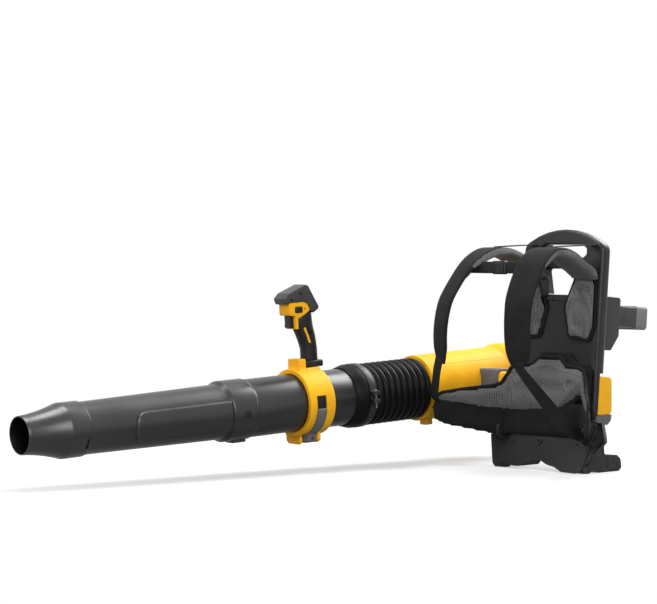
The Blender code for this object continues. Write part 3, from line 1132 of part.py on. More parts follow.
def make_handle(mats, handle):
    """Grip in two shells on its foot, a grey head, a yellow cover, and the controls."""
    low = SHELF_HEIGHT + SEAT
    foot = rounded([(-GRIP_HALF, low), (GRIP_HALF, low), (GRIP_HALF, FOOT_TOP), (-GRIP_HALF, FOOT_TOP)], 0.003, 2)
    place("handle_foot", prism(foot, FOOT_REAR, FOOT_FRONT, 2), mats["frame"], handle)

    split = [(0.1742, 0.24), (0.1742, 0.2688), (0.1800, 0.2764), (0.1712, 0.2905), (0.1650, 0.3062),
             (0.1442, 0.3062), (0.1442, 0.35), (0.30, 0.35), (0.30, 0.24)]
    wide = 0.05
    shells = []
    for name, low, high in (("handle_shell_left", SEAT / 2, wide), ("handle_shell_right", -wide, -SEAT / 2)):
        shell = place(name, grip_form(), mats["frame"], handle)
        keep(shell, box((low, 0, 0.2), (high, 0.3, 0.4)))
        cut(shell, prism(split, -wide, wide, 0))
        cut(shell, box((-TRIGGER_HALF - RUN, 0.1425, 0.2830), (TRIGGER_HALF + RUN, 0.1690, 0.3400)))
        cut(shell, box((-0.006, 0.090, 0.266), (0.006, 0.130, 0.286)))
        shells.append(shell)

    head = [(0.1983, 0.3365), (0.2070, 0.3395), (0.2165, 0.3290), (0.2315, 0.2860), (0.2295, 0.2795),
            (0.1872, 0.2553), (0.1822, 0.2563), (0.1745, 0.2690), (0.1806, 0.2770), (0.1873, 0.2785),
            (0.1938, 0.2825), (0.1983, 0.2915), (0.1991, 0.3230)]
    place("handle_head", pillow(head, -HEAD_HALF, HEAD_HALF, 0, HEAD_EDGE), mats["grey"], handle)

    cover = [(0.1977, 0.3275), (0.1750, 0.3275), (0.1722, 0.3250), (0.1716, 0.3150), (0.1680, 0.3135),
             (0.1450, 0.3132), (0.1448, 0.3068), (0.1655, 0.3068), (0.1718, 0.2915), (0.1804, 0.2776),
             (0.1870, 0.2792), (0.1934, 0.2831), (0.1977, 0.2918), (0.1985, 0.3230)]
    shell = place("handle_cover", pillow(cover, -COVER_HALF, COVER_HALF, 0, COVER_EDGE), mats["yellow"], handle)
    cut(shell, box((-TRIGGER_HALF - RUN, 0.1425, 0.3040), (TRIGGER_HALF + RUN, 0.1835, 0.3400)))
    pocket = rounded([(BUTTON_HEIGHT - BUTTON_HALF_HEIGHT - RUN, BUTTON_STATION - BUTTON_HALF_LENGTH - RUN),
                      (BUTTON_HEIGHT + BUTTON_HALF_HEIGHT + RUN, BUTTON_STATION - BUTTON_HALF_LENGTH - RUN),
                      (BUTTON_HEIGHT + BUTTON_HALF_HEIGHT + RUN, BUTTON_STATION + BUTTON_HALF_LENGTH + RUN),
                      (BUTTON_HEIGHT - BUTTON_HALF_HEIGHT - RUN, BUTTON_STATION + BUTTON_HALF_LENGTH + RUN)],
                     0.004, 3)
    pocket_floor = COVER_HALF - 0.007
    cut(shell, prism(pocket, pocket_floor, COVER_HALF + 0.01, 0))
    lamp_at = (BUTTON_STATION - 0.0150, BUTTON_HEIGHT + 0.0015)
    turn = Matrix.Rotation(math.pi / 2, 4, "Y")
    cut(shell, moved(moved(rod(0.0017 + SEAT, COVER_HALF - 0.002, COVER_HALF + 0.01, 12), turn),
                     Matrix.Translation((0, lamp_at[1], lamp_at[0]))))
    place("indicator", moved(moved(rod(0.0017, COVER_HALF - 0.002 + SEAT, COVER_HALF + 0.0006, 12), turn),
                             Matrix.Translation((0, lamp_at[1], lamp_at[0]))), mats["red"], handle)

    button = [(BUTTON_HEIGHT - BUTTON_HALF_HEIGHT, BUTTON_STATION - BUTTON_HALF_LENGTH),
              (BUTTON_HEIGHT + BUTTON_HALF_HEIGHT, BUTTON_STATION - BUTTON_HALF_LENGTH),
              (BUTTON_HEIGHT + BUTTON_HALF_HEIGHT, BUTTON_STATION + BUTTON_HALF_LENGTH),
              (BUTTON_HEIGHT - BUTTON_HALF_HEIGHT, BUTTON_STATION + BUTTON_HALF_LENGTH)]
    place("speed_button", prism(rounded(button, 0.004, 3), pocket_floor + BUTTON_TRAVEL + SEAT, COVER_HALF + 0.0022, 0),
          mats["frame"], handle)

    pivot_z, pivot_y = TRIGGER_PIVOT
    pull = empty("trigger_axis", (0, pivot_y, pivot_z), parent=handle)
    blade = [(0.1468, 0.3100), (0.1470, 0.3195), (0.1492, 0.3228), (0.1570, 0.3218), (0.1640, 0.3218),
             (0.1705, 0.3228), (0.1712, 0.3205), (0.1765, 0.3195), (0.1797, 0.3178), (0.1805, 0.3150),
             (0.1797, 0.3122), (0.1765, 0.3108), (0.1600, 0.3085)]
    trigger = place("trigger", moved(prism(blade, -TRIGGER_HALF, TRIGGER_HALF, 0),
                                     Matrix.Translation((0, -pivot_y, -pivot_z))), mats["frame"], pull)
    cut(trigger, moved(rod(TRIGGER_PIN_RADIUS + SEAT, -0.03, 0.03, 12), turn))
    pin_at = Matrix.Translation((0, pivot_y, pivot_z))
    reach = COVER_HALF - 0.003
    cut(shell, moved(moved(rod(TRIGGER_PIN_RADIUS + SEAT, -reach, reach, 12), turn), pin_at))
    place("trigger_pin", moved(moved(rod(TRIGGER_PIN_RADIUS, -reach + SEAT, reach - SEAT, 12), turn), pin_at),
          mats["steel"], handle)
    place("trigger_switch", box((-TRIGGER_HALF + 0.001, 0.1440, 0.2830 + SEAT),
                                (TRIGGER_HALF - 0.001, 0.1640, 0.3010)), mats["grey"], handle)

    hole = Matrix.Translation((0, 0.1370, 0.2760))
    for shell in shells:
        cut(shell, moved(moved(rod(0.0022 + SEAT, -GRIP_HALF + 0.004, GRIP_HALF + 0.01, 12), turn), hole))
    screw = [(0, GRIP_HALF + 0.0011), (0.0022, GRIP_HALF + 0.0011), (0.0022, -GRIP_HALF + 0.004 + SEAT),
             (0, -GRIP_HALF + 0.004 + SEAT)]
    place("handle_screw", moved(moved(turned(screw, 12), turn), hole), mats["steel"], handle)


# ================================================================== the whole part
def main():
    clear_scene()
    mats = make_materials()
    lean = empty("frame_lean", (0, FRAME_FRONT_Y, 0), (-FRAME_LEAN, 0, 0))
    make_back_frame(mats, lean)
    make_base(mats)
    make_pads(mats, lean)
    make_belt_wings(mats)
    make_shoulder_straps(mats)
    make_webbing(mats)
    make_chest_strap(mats)
    make_load_lifters(mats)
    make_electronics(mats)
    make_battery(mats, lean)

    tube = empty("tube_frame", JUNCTION)
    forward = Vector((-math.sin(TUBE_YAW) * math.cos(TUBE_DROOP), -math.cos(TUBE_YAW) * math.cos(TUBE_DROOP),
                      -math.sin(TUBE_DROOP)))
    sideways = Vector((math.cos(TUBE_YAW), -math.sin(TUBE_YAW), 0))
    upward = forward.cross(sideways)
    tube.rotation_euler = Matrix((sideways, upward, forward)).transposed().to_euler()
    make_fan_housing(mats, tube)
    make_fan(mats, tube)
    make_fan_mount(mats, tube)
    pitch, pitch_station = make_hose(mats, tube)
    cuff = make_cuff(mats, pitch, pitch_station)
    swivel = make_tubes(mats, cuff)
    handle = empty("handle_slide_frame", (0, 0, 0), parent=swivel)
    make_clamp(mats, handle)
    make_handle(mats, handle)

    middle = empty("base_middle", (*BASE_MIDDLE, 0))
    for item in list(bpy.context.scene.objects):
        if item.parent is None and item is not middle:
            item.parent = middle


main()
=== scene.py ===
"""A backpack leaf blower: its finished pieces, their materials, and the light it stands in."""

import json
from math import atan, copysign, cos, exp, hypot, pi, radians, sin, sqrt, tan, tau

import bmesh
import bpy
from mathutils import Matrix, Vector

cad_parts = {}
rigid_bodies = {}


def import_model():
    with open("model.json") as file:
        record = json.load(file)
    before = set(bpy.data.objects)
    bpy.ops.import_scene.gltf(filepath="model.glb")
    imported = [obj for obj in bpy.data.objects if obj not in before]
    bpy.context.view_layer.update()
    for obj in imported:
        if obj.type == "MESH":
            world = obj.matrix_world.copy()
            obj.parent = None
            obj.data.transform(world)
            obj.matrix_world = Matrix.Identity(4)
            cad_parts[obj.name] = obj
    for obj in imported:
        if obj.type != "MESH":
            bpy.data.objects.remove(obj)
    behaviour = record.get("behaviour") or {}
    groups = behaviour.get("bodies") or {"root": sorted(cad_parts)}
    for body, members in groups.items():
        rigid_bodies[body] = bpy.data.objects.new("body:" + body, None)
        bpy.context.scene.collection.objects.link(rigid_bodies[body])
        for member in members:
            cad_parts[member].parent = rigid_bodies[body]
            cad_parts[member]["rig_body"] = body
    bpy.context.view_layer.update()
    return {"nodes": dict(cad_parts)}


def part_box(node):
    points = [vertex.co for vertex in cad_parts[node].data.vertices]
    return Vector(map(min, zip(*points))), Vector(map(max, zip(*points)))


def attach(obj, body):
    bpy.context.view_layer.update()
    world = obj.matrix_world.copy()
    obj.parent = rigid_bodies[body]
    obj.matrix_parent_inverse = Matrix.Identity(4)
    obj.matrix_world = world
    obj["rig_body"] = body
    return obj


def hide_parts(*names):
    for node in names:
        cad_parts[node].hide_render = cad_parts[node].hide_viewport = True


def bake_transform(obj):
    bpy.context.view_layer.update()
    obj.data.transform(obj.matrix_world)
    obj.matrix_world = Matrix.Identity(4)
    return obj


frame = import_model()
NODES = frame["nodes"]
SCENE = bpy.context.scene
SIDES = ((1, "left"), (-1, "right"))

# ------------------------------------------------------------ the frames that pieces are built in
MIDDLE = Vector((0.110, 0.383, 0))
BASE = Matrix.Translation(MIDDLE)
LEAN_ANGLE = radians(4.86)
LEAN = BASE @ Matrix.Translation((0, 0.005, 0)) @ Matrix.Rotation(-LEAN_ANGLE, 4, "X")
TUBE_YAW, TUBE_DROOP = radians(6.0), radians(3.24)
FORWARD = Vector((-sin(TUBE_YAW) * cos(TUBE_DROOP), -cos(TUBE_YAW) * cos(TUBE_DROOP),
                  -sin(TUBE_DROOP)))
SIDEWAYS = Vector((cos(TUBE_YAW), -sin(TUBE_YAW), 0))
UPWARD = FORWARD.cross(SIDEWAYS)
TUBE = (BASE @ Matrix.Translation((-0.291, -0.078, 0.153))
        @ Matrix((SIDEWAYS, UPWARD, FORWARD)).transposed().to_4x4())


def front_line(z):
    """Y of the frame's front face at height z, in the base frame."""
    return 0.005 + z * tan(LEAN_ANGLE)


# ------------------------------------------------------------ node trees
def grey(level, warm=0.0):
    return (level * (1 + warm), level, level * (1 - warm), 1)


def tree_of(name, kind, inputs, outputs):
    """A node group with its named sockets: the tree, its inputs' values and its outputs' sockets."""
    tree = bpy.data.node_groups.new(name, kind)
    for label, socket, value in inputs:
        made = tree.interface.new_socket(label, in_out="INPUT", socket_type="NodeSocket" + socket)
        if value is not None:
            made.default_value = value
    for label, socket in outputs:
        tree.interface.new_socket(label, in_out="OUTPUT", socket_type="NodeSocket" + socket)
    return tree, tree.nodes.new("NodeGroupInput").outputs, tree.nodes.new("NodeGroupOutput").inputs


def put(tree, kind, values=(), **settings):
    """A node with its settings, and its inputs set or wired."""
    node = tree.nodes.new(kind)
    for key, value in settings.items():
        setattr(node, key, value)
    for key, value in dict(values).items():
        if isinstance(value, bpy.types.NodeSocket):
            tree.links.new(value, node.inputs[key])
        else:
            node.inputs[key].default_value = value
    return node


def sum_of(tree, operation, a, b=0.0):
    return put(tree, "ShaderNodeMath", {0: a, 1: b}, operation=operation).outputs[0]


def times(tree, a, b):
    return sum_of(tree, "MULTIPLY", a, b)


def ramp_of(tree, value, low, high, to_low=0.0, to_high=1.0):
    return put(tree, "ShaderNodeMapRange", {"Value": value, "From Min": low, "From Max": high,
                                            "To Min": to_low, "To Max": to_high}).outputs[0]


def mix_of(tree, share, a, b):
    return put(tree, "ShaderNodeMix", {0: share, 6: a, 7: b}, data_type="RGBA").outputs[2]


def tinted(tree, colour, tone):
    return put(tree, "ShaderNodeVectorMath", {0: colour, "Scale": tone}, operation="SCALE").outputs[0]


def noise_of(tree, place, scale, detail):
    return put(tree, "ShaderNodeTexNoise", {"Vector": place, "Scale": scale, "Detail": detail}).outputs[0]


def bump_of(tree, height, strength, distance, **settings):
    return put(tree, "ShaderNodeBump", {"Height": height, "Strength": strength, "Distance": distance},
               **settings).outputs[0]


def moulded_surface():
    """Spark-eroded mould grain, faint flow marks, and convex edges painted lighter as a highlight, in noisy
    patches.
    """
    tree, enter, leave = tree_of("moulded_surface", "ShaderNodeTree", [
        ("Vector", "Vector", None), ("Colour", "Color", grey(0.1)), ("Edge Colour", "Color", grey(0.2)),
        ("Grain Size", "Float", 0.0007), ("Grain Depth", "Float", 0.15), ("Roughness", "Float", 0.45),
        ("Edge Highlight", "Float", 0.4)], [("Colour", "Color"), ("Roughness", "Float"), ("Normal", "Vector")])
    place = enter["Vector"]
    flow = noise_of(tree, place, 14.0, 4.0)
    # painted highlight: convex edges (pointiness) are mixed toward the lighter edge colour, broken into noisy
    # patches
    highlight_patches = ramp_of(tree, noise_of(tree, place, 70.0, 5.0), 0.38, 0.62)
    edge_highlight_mask = ramp_of(tree, put(tree, "ShaderNodeNewGeometry").outputs["Pointiness"], 0.515, 0.60)
    edge_highlight_mask = times(tree, times(tree, edge_highlight_mask, highlight_patches), enter["Edge Highlight"])
    toned = tinted(tree, enter["Colour"], ramp_of(tree, flow, 0.3, 0.7, 0.90, 1.10))
    tree.links.new(mix_of(tree, edge_highlight_mask, toned, enter["Edge Colour"]), leave["Colour"])
    rough = times(tree, enter["Roughness"], ramp_of(tree, flow, 0.3, 0.7, 0.90, 1.12))
    tree.links.new(sum_of(tree, "ADD", rough, times(tree, edge_highlight_mask, -0.08)), leave["Roughness"])
    grain = noise_of(tree, place, sum_of(tree, "DIVIDE", 1.0, enter["Grain Size"]), 2.0)
    tree.links.new(bump_of(tree, grain, enter["Grain Depth"], 0.0004), leave["Normal"])
    return tree


def open_mesh():
    """Knitted spacer mesh: small round holes in offset rows, between raised threads."""
    tree, enter, leave = tree_of("open_mesh", "ShaderNodeTree", [
        ("Vector", "Vector", None), ("Thread Colour", "Color", grey(0.2)),
        ("Hole Colour", "Color", grey(0.03)), ("Hole Pitch", "Float", 0.0034)],
        [("Colour", "Color"), ("Normal", "Vector")])
    scale = sum_of(tree, "DIVIDE", 1.0, enter["Hole Pitch"])
    cells = put(tree, "ShaderNodeTexVoronoi", {"Vector": enter["Vector"], "Scale": scale, "Randomness": 0.28})
    hole = ramp_of(tree, cells.outputs["Distance"], 0.20, 0.46, 1.0, 0.0)
    fuzz = noise_of(tree, enter["Vector"], 26.0, 5.0)
    thread = tinted(tree, enter["Thread Colour"], ramp_of(tree, fuzz, 0.3, 0.7, 0.82, 1.15))
    tree.links.new(mix_of(tree, hole, thread, enter["Hole Colour"]), leave["Colour"])
    tree.links.new(bump_of(tree, hole, 0.55, 0.0009, invert=True), leave["Normal"])
    return tree


def woven_thread():
    """Plain weave: warp and weft ribs that pass over each other, with a few paler threads."""
    tree, enter, leave = tree_of("woven_thread", "ShaderNodeTree", [
        ("Vector", "Vector", None), ("Colour", "Color", grey(0.03)), ("Thread Colour", "Color", grey(0.06)),
        ("Thread Pitch", "Float", 0.0011)], [("Colour", "Color"), ("Normal", "Vector")])
    turns = sum_of(tree, "DIVIDE", tau, enter["Thread Pitch"])
    x, y, z = put(tree, "ShaderNodeSeparateXYZ", {0: enter["Vector"]}).outputs
    warp, weft = (sum_of(tree, "SINE", times(tree, sum_of(tree, *slant), turns))
                  for slant in (("ADD", x, y), ("SUBTRACT", z, y)))
    over = ramp_of(tree, times(tree, warp, weft), -1.0, 1.0)
    fade = noise_of(tree, enter["Vector"], 30.0, 4.0)
    share = times(tree, over, ramp_of(tree, fade, 0.35, 0.7, 0.3, 1.0))
    tree.links.new(mix_of(tree, share, enter["Colour"], enter["Thread Colour"]), leave["Colour"])
    tree.links.new(bump_of(tree, over, 0.5, 0.0004), leave["Normal"])
    return tree


# ------------------------------------------------------------ materials
MOULDED, MESHED, WOVEN = moulded_surface(), open_mesh(), woven_thread()


def surface(name, group, values, **shader):
    """A material whose colour and normal come from a group, and whose constants sit on the shader."""
    made = bpy.data.materials.new(name)
    made.use_nodes = True
    tree = made.node_tree
    principled = tree.nodes["Principled BSDF"]
    effect = put(tree, "ShaderNodeGroup", node_tree=group)
    tree.links.new(put(tree, "ShaderNodeTexCoord").outputs["Object"], effect.inputs["Vector"])
    for key, value in values.items():
        effect.inputs[key].default_value = value
    for output, target in (("Colour", "Base Color"), ("Normal", "Normal"), ("Roughness", "Roughness")):
        if output in effect.outputs:
            tree.links.new(effect.outputs[output], principled.inputs[target])
    for key, value in shader.items():
        principled.inputs[key.replace("_", " ")].default_value = value
    made.diffuse_color = (*values.get("Colour", values.get("Thread Colour"))[:3], 1)
    return made


# edge and the share after the grain size paint a lighter highlight on convex edges
def plastic(name, colour, edge, roughness, depth=0.15, size=0.0007, painted_edge_light=0.4, shine=0.5, **shader):
    return surface(name, MOULDED, {"Colour": colour, "Edge Colour": edge, "Roughness": roughness,
                                   "Grain Depth": depth, "Grain Size": size, "Edge Highlight": painted_edge_light},
                   Specular_IOR_Level=shine, **shader)


def cloth(name, group, colours, roughness, shine, sheen=0.0, **shader):
    return surface(name, group, colours, Roughness=roughness, Specular_IOR_Level=shine, Sheen_Weight=sheen,
                   Sheen_Roughness=0.5, **shader)


# Each plastic's second colour is its painted edge highlight colour.
FRAME_BLACK = plastic("frame_black", grey(0.011), grey(0.065), 0.38, 0.18, shine=0.26)
TUBE_BLACK = plastic("tube_black", grey(0.008), grey(0.05), 0.33, 0.08, shine=0.62)
HOSE_BLACK = plastic("hose_black", grey(0.0045), grey(0.04), 0.40, 0.25, 0.0010, shine=0.10)
YELLOW = plastic("housing_yellow", (0.92, 0.455, 0.010, 1), (1.0, 0.70, 0.16, 1), 0.48, 0.08, 0.0009, 0.2,
                 shine=0.18)
HEAD_GREY = plastic("head_grey", grey(0.040, 0.02), grey(0.15), 0.42, 0.14, shine=0.35)
LEVER_GREY = plastic("lever_grey", grey(0.130), grey(0.28), 0.42, 0.12, shine=0.4)
BUMPER_GREY = plastic("bumper_grey", grey(0.100), grey(0.22), 0.50, 0.20, shine=0.3)
BATTERY_GREY = plastic("battery_grey", grey(0.170), grey(0.32), 0.46, 0.16, shine=0.3)
SHELL_BLACK = plastic("shell_black", grey(0.026), grey(0.09), 0.44, 0.15, shine=0.3)
DEEP_BLACK = plastic("deep_black", grey(0.006), grey(0.03), 0.55, 0.15, shine=0.2)
LAMP_RED = plastic("lamp_red", (0.75, 0.02, 0.012, 1), (0.9, 0.3, 0.2, 1), 0.25, 0.05, painted_edge_light=0.1)
BOARD_GREEN = plastic("board_green", (0.03, 0.16, 0.05, 1), (0.2, 0.3, 0.12, 1), 0.40, 0.20, 0.002)
CELL_WRAP = plastic("cell_wrap", (0.05, 0.17, 0.32, 1), (0.2, 0.32, 0.42, 1), 0.30, 0.08)
STEEL = plastic("dark_steel", grey(0.22), grey(0.50), 0.36, 0.10, 0.0005, 0.5, Metallic=1.0)
BRIGHT_STEEL = plastic("bright_steel", grey(0.55), grey(0.75), 0.24, 0.05, 0.0004, 0.5, Metallic=1.0)
BLACK_STEEL = plastic("black_steel", grey(0.030), grey(0.12), 0.40, 0.12, 0.0005, 0.5, Metallic=0.6)
MESH_GREY = cloth("mesh_grey", MESHED, {"Thread Colour": grey(0.135), "Hole Colour": grey(0.030)},
                  0.88, 0.2, 0.10)
FABRIC_BLACK = cloth("fabric_black", WOVEN, {"Colour": grey(0.009), "Thread Colour": grey(0.022)},
                     0.90, 0.12, 0.03)
WEBBING_BLACK = cloth("webbing_black", WOVEN, {"Colour": grey(0.009), "Thread Colour": grey(0.030),
                                               "Thread Pitch": 0.0016}, 0.78, 0.15, 0.04)
THREAD_GREY = cloth("thread_grey", WOVEN, {"Colour": grey(0.03), "Thread Colour": grey(0.07),
                                           "Thread Pitch": 0.0006}, 0.8, 0.2)


# ------------------------------------------------------------ mesh tools
def facing_out(bm):
    bmesh.ops.recalc_face_normals(bm, faces=bm.faces)
    return bm
def turned(profile, steps=96):
    """The closed (radius, station) outline spun round the Z axis."""
    bm = bmesh.new()
    rings = []
    for radius, z in profile:
        if radius < 1e-7:
            rings.append([bm.verts.new((0, 0, z))])
        else:
            rings.append([bm.verts.new((radius * cos(tau * k / steps),
                                        radius * sin(tau * k / steps), z)) for k in range(steps)])
    for a, b in zip(rings, rings[1:] + rings[:1]):
        for k in range(steps):
            m = (k + 1) % steps
            corners = [a[k % len(a)], a[m % len(a)], b[m % len(b)], b[k % len(b)]]
            corners = list(dict.fromkeys(corners))
            if len(corners) > 2:
                bm.faces.new(corners)
    return facing_out(bm)


def rod(radius, low, high, steps):
    return turned([(0, low), (radius, low), (radius, high), (0, high)], steps)


def rod_across(radius, low, high, steps, y=0.0, z=0.0):
    """A rod that runs along X at the given Y and Z."""
    turn = Matrix.Translation((0, y, z)) @ Matrix.Rotation(pi / 2, 4, "Y")
    return moved(rod(radius, low, high, steps), turn)


def pipe(outer, inner, low, high, steps):
    return turned([(inner, low), (outer, low), (outer, high), (inner, high)], steps)


def spun(degrees):
    return Matrix.Rotation(radians(degrees), 4, "Z")


CORNER_SHARE, NEARLY_STRAIGHT = 0.45, radians(172)  # an arc's share of a side, and a corner that needs none


def rounded(points, radius, steps=4):
    """The closed outline with each corner turned into a short arc."""
    result = []
    points = [Vector(p) for p in points]
    for i, point in enumerate(points):
        before, after = points[i - 1] - point, points[(i + 1) % len(points)] - point
        if before.length < 1e-9 or after.length < 1e-9:
            continue
        angle = before.angle(after, pi)
        if angle > NEARLY_STRAIGHT:
            result.append(tuple(point))
            continue
        reach = min(radius / tan(angle / 2), CORNER_SHARE * before.length, CORNER_SHARE * after.length)
        start, end = point + before.normalized() * reach, point + after.normalized() * reach
        for k in range(steps + 1):
            t = k / steps
            result.append(tuple(start * (1 - t) ** 2 + point * (2 * t * (1 - t)) + end * t ** 2))
    return result


def oblong(x0, x1, z0, z1, radius=0.0, steps=4):
    corners = [(x0, z0), (x1, z0), (x1, z1), (x0, z1)]
    return rounded(corners, radius, steps) if radius else corners


def mirrored(points, middle=()):
    """Half an outline, what lies on its middle line, and the other half."""
    return points + list(middle) + [(-x, z) for x, z in reversed(points)]


def arc(radius, start, end, steps, centre=(0.0, 0.0)):
    return [(centre[0] + radius * cos(start + (end - start) * k / steps),
             centre[1] + radius * sin(start + (end - start) * k / steps)) for k in range(steps + 1)]


def inset(outline, depth):
    """The outline drawn in by depth, corner by corner."""
    area = sum(a[0] * b[1] - b[0] * a[1] for a, b in zip(outline, outline[1:] + outline[:1]))
    turn = 1 if area > 0 else -1
    result = []
    for i, point in enumerate(outline):
        a, p, b = Vector(outline[i - 1]), Vector(point), Vector(outline[(i + 1) % len(outline)])
        u, v = (p - a).normalized(), (b - p).normalized()
        n1, n2 = Vector((-u.y, u.x)) * turn, Vector((-v.y, v.x)) * turn
        way = (n1 + n2)
        way = way.normalized() / max(0.5, way.normalized().dot(n1)) if way.length > 1e-6 else n1
        result.append(tuple(p + way * depth))
    return result


def bridged(bm, loops):
    """Faces between each loop of points and the next, with both ends closed."""
    for a, b in zip(loops, loops[1:]):
        for k in range(len(a)):
            m = (k + 1) % len(a)
            bm.faces.new((a[k], a[m], b[m], b[k]))
    bm.faces.new(loops[0])
    bm.faces.new(list(reversed(loops[-1])))
    return facing_out(bm)


def stacked(rings, axis):
    """A closed body through outlines set at (outline, level) along an axis."""
    bm = bmesh.new()
    others = [i for i in range(3) if i != axis]
    loops = []
    for outline, level in rings:
        loop = []
        for point in outline:
            at = [0.0, 0.0, 0.0]
            at[axis] = level
            at[others[0]], at[others[1]] = point
            loop.append(bm.verts.new(at))
        loops.append(loop)
    return bridged(bm, loops)


def prism(outline, low, high, axis):
    return stacked([(outline, low), (outline, high)], axis)


def pillow(outline, low, high, axis, edge, far_edge=None, steps=4):
    """A prism whose rims are rolled over: `edge` at its low end, `far_edge` at its high end."""
    far_edge = edge if far_edge is None else far_edge
    turns = [pi / 2 * k / steps for k in range(steps + 1)]
    rings = [(inset(outline, edge * (1 - sin(turn))), low + edge * (1 - cos(turn))) for turn in turns]
    rings += [(inset(outline, far_edge * (1 - sin(turn))), high - far_edge * (1 - cos(turn)))
              for turn in reversed(turns)]
    return stacked(rings, axis)


def box(low, high):
    return prism(oblong(low[0], high[0], low[1], high[1]), low[2], high[2], 2)


def moved(bm, matrix):
    bmesh.ops.transform(bm, matrix=matrix, verts=bm.verts)
    return bm


def merged(shapes):
    result = shapes[0]
    for shape in shapes[1:]:
        scrap = bpy.data.meshes.new("scrap")
        shape.to_mesh(scrap)
        result.from_mesh(scrap)
        shape.free()
        bpy.data.meshes.remove(scrap)
    return result


def scratch(bm, name="scratch"):
    mesh = bpy.data.meshes.new(name)
    bm.to_mesh(mesh)
    bm.free()
    made = bpy.data.objects.new(name, mesh)
    SCENE.collection.objects.link(made)
    return made


def baked(obj):
    """The object's evaluated mesh, as a bmesh, with the object removed."""
    bpy.context.view_layer.update()
    mesh = bpy.data.meshes.new_from_object(obj.evaluated_get(bpy.context.evaluated_depsgraph_get()))
    bm = bmesh.new()
    bm.from_mesh(mesh)
    bpy.data.meshes.remove(mesh)
    drop(obj)
    return bm


def drop(obj):
    mesh = obj.data
    bpy.data.objects.remove(obj)
    bpy.data.meshes.remove(mesh)


def carved(bm, tools, operation="DIFFERENCE"):
    """bm with each tool cut away from it, or joined to it."""
    for tool in tools if isinstance(tools, list) else [tools]:
        target, cutter = scratch(bm), scratch(tool)
        change = target.modifiers.new("cut", "BOOLEAN")
        change.operation, change.object, change.solver = operation, cutter, "EXACT"
        bm = baked(target)
        drop(cutter)
    return bm


WELD = 2e-6  # points nearer than this are one


def soften(bm, width, segments, angle=28):
    """Rounds every edge that turns by more than `angle` degrees."""
    bmesh.ops.remove_doubles(bm, verts=bm.verts, dist=WELD)
    bmesh.ops.dissolve_limit(bm, angle_limit=radians(1.2), verts=bm.verts, edges=bm.edges)
    if width:
        edges = [e for e in bm.edges if len(e.link_faces) == 2 and e.calc_face_angle(0) > radians(angle)]
        bmesh.ops.bevel(bm, geom=edges, offset=width, segments=segments, profile=0.6, affect="EDGES",
                        clamp_overlap=False)
        bmesh.ops.remove_doubles(bm, verts=bm.verts, dist=WELD)
    return bm


def shown(name, bm, materials, body, replaces=(), matrix=None, smooth=32):
    """Makes the finished piece, sets it on its body, and hides the solids that it stands for."""
    if matrix is not None:
        moved(bm, matrix)
    made = scratch(bm, name)
    for material in materials if isinstance(materials, list) else [materials]:
        made.data.materials.append(material)
    made.data.shade_smooth()
    made.data.set_sharp_from_angle(angle=radians(smooth))
    if body:
        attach(made, body)
    if replaces:
        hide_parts(*([replaces] if isinstance(replaces, str) else replaces))
    return made


def finished(node, material, width, segments=2):
    """A CAD solid with its edges rounded, shown in its place."""
    bm = bmesh.new()
    bm.from_mesh(NODES[node].data)
    soften(bm, width, segments)
    return shown(node + "_finish", bm, material, NODES[node]["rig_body"], node)


def repaint(material, *nodes):
    for node in nodes:
        for place in NODES[node].material_slots:
            place.material = material


# ------------------------------------------------------------ what repeats: screws and stitches
def copies_of(tree, enter, leave, points, piece, rotation):
    """Copies of a piece on points, made real and given the material."""
    copies = put(tree, "GeometryNodeInstanceOnPoints", {"Points": points, "Instance": piece,
                                                        "Rotation": rotation})
    real = put(tree, "GeometryNodeRealizeInstances", {"Geometry": copies.outputs[0]})
    made = put(tree, "GeometryNodeSetMaterial", {"Geometry": real.outputs[0], "Material": enter["Material"]})
    tree.links.new(made.outputs[0], leave["Geometry"])
    return tree


def screw_tree():
    """Socket-head screws on points that know which way they face."""
    tree, enter, leave = tree_of("socket_screws", "GeometryNodeTree", [
        ("Geometry", "Geometry", None), ("Head Radius", "Float", 0.0045), ("Head Height", "Float", 0.0024),
        ("Socket Radius", "Float", 0.0022), ("Material", "Material", None)], [("Geometry", "Geometry")])
    height = enter["Head Height"]

    def disc(sides, radius, lift):
        made = put(tree, "GeometryNodeMeshCylinder", {"Vertices": sides, "Radius": radius, "Depth": height})
        raised = put(tree, "ShaderNodeCombineXYZ", {2: times(tree, height, lift)})
        return put(tree, "GeometryNodeTransform", {"Geometry": made.outputs["Mesh"],
                                                   "Translation": raised.outputs[0]}).outputs["Geometry"]

    joined = put(tree, "GeometryNodeMeshBoolean", operation="UNION", solver="EXACT")
    tree.links.new(disc(28, enter["Head Radius"], 0.0), joined.inputs[1])
    tree.links.new(disc(28, times(tree, enter["Head Radius"], 0.86), 0.22), joined.inputs[1])
    socket = disc(6, enter["Socket Radius"], 0.62)
    cut = put(tree, "GeometryNodeMeshBoolean", {0: joined.outputs[0], 1: socket}, operation="DIFFERENCE",
              solver="EXACT")
    facing = put(tree, "GeometryNodeInputNamedAttribute", {"Name": "facing"}, data_type="FLOAT_VECTOR")
    align = put(tree, "FunctionNodeAlignRotationToVector", {"Vector": facing.outputs["Attribute"]}, axis="Z")
    return copies_of(tree, enter, leave, enter["Geometry"], cut.outputs[0], align.outputs[0])


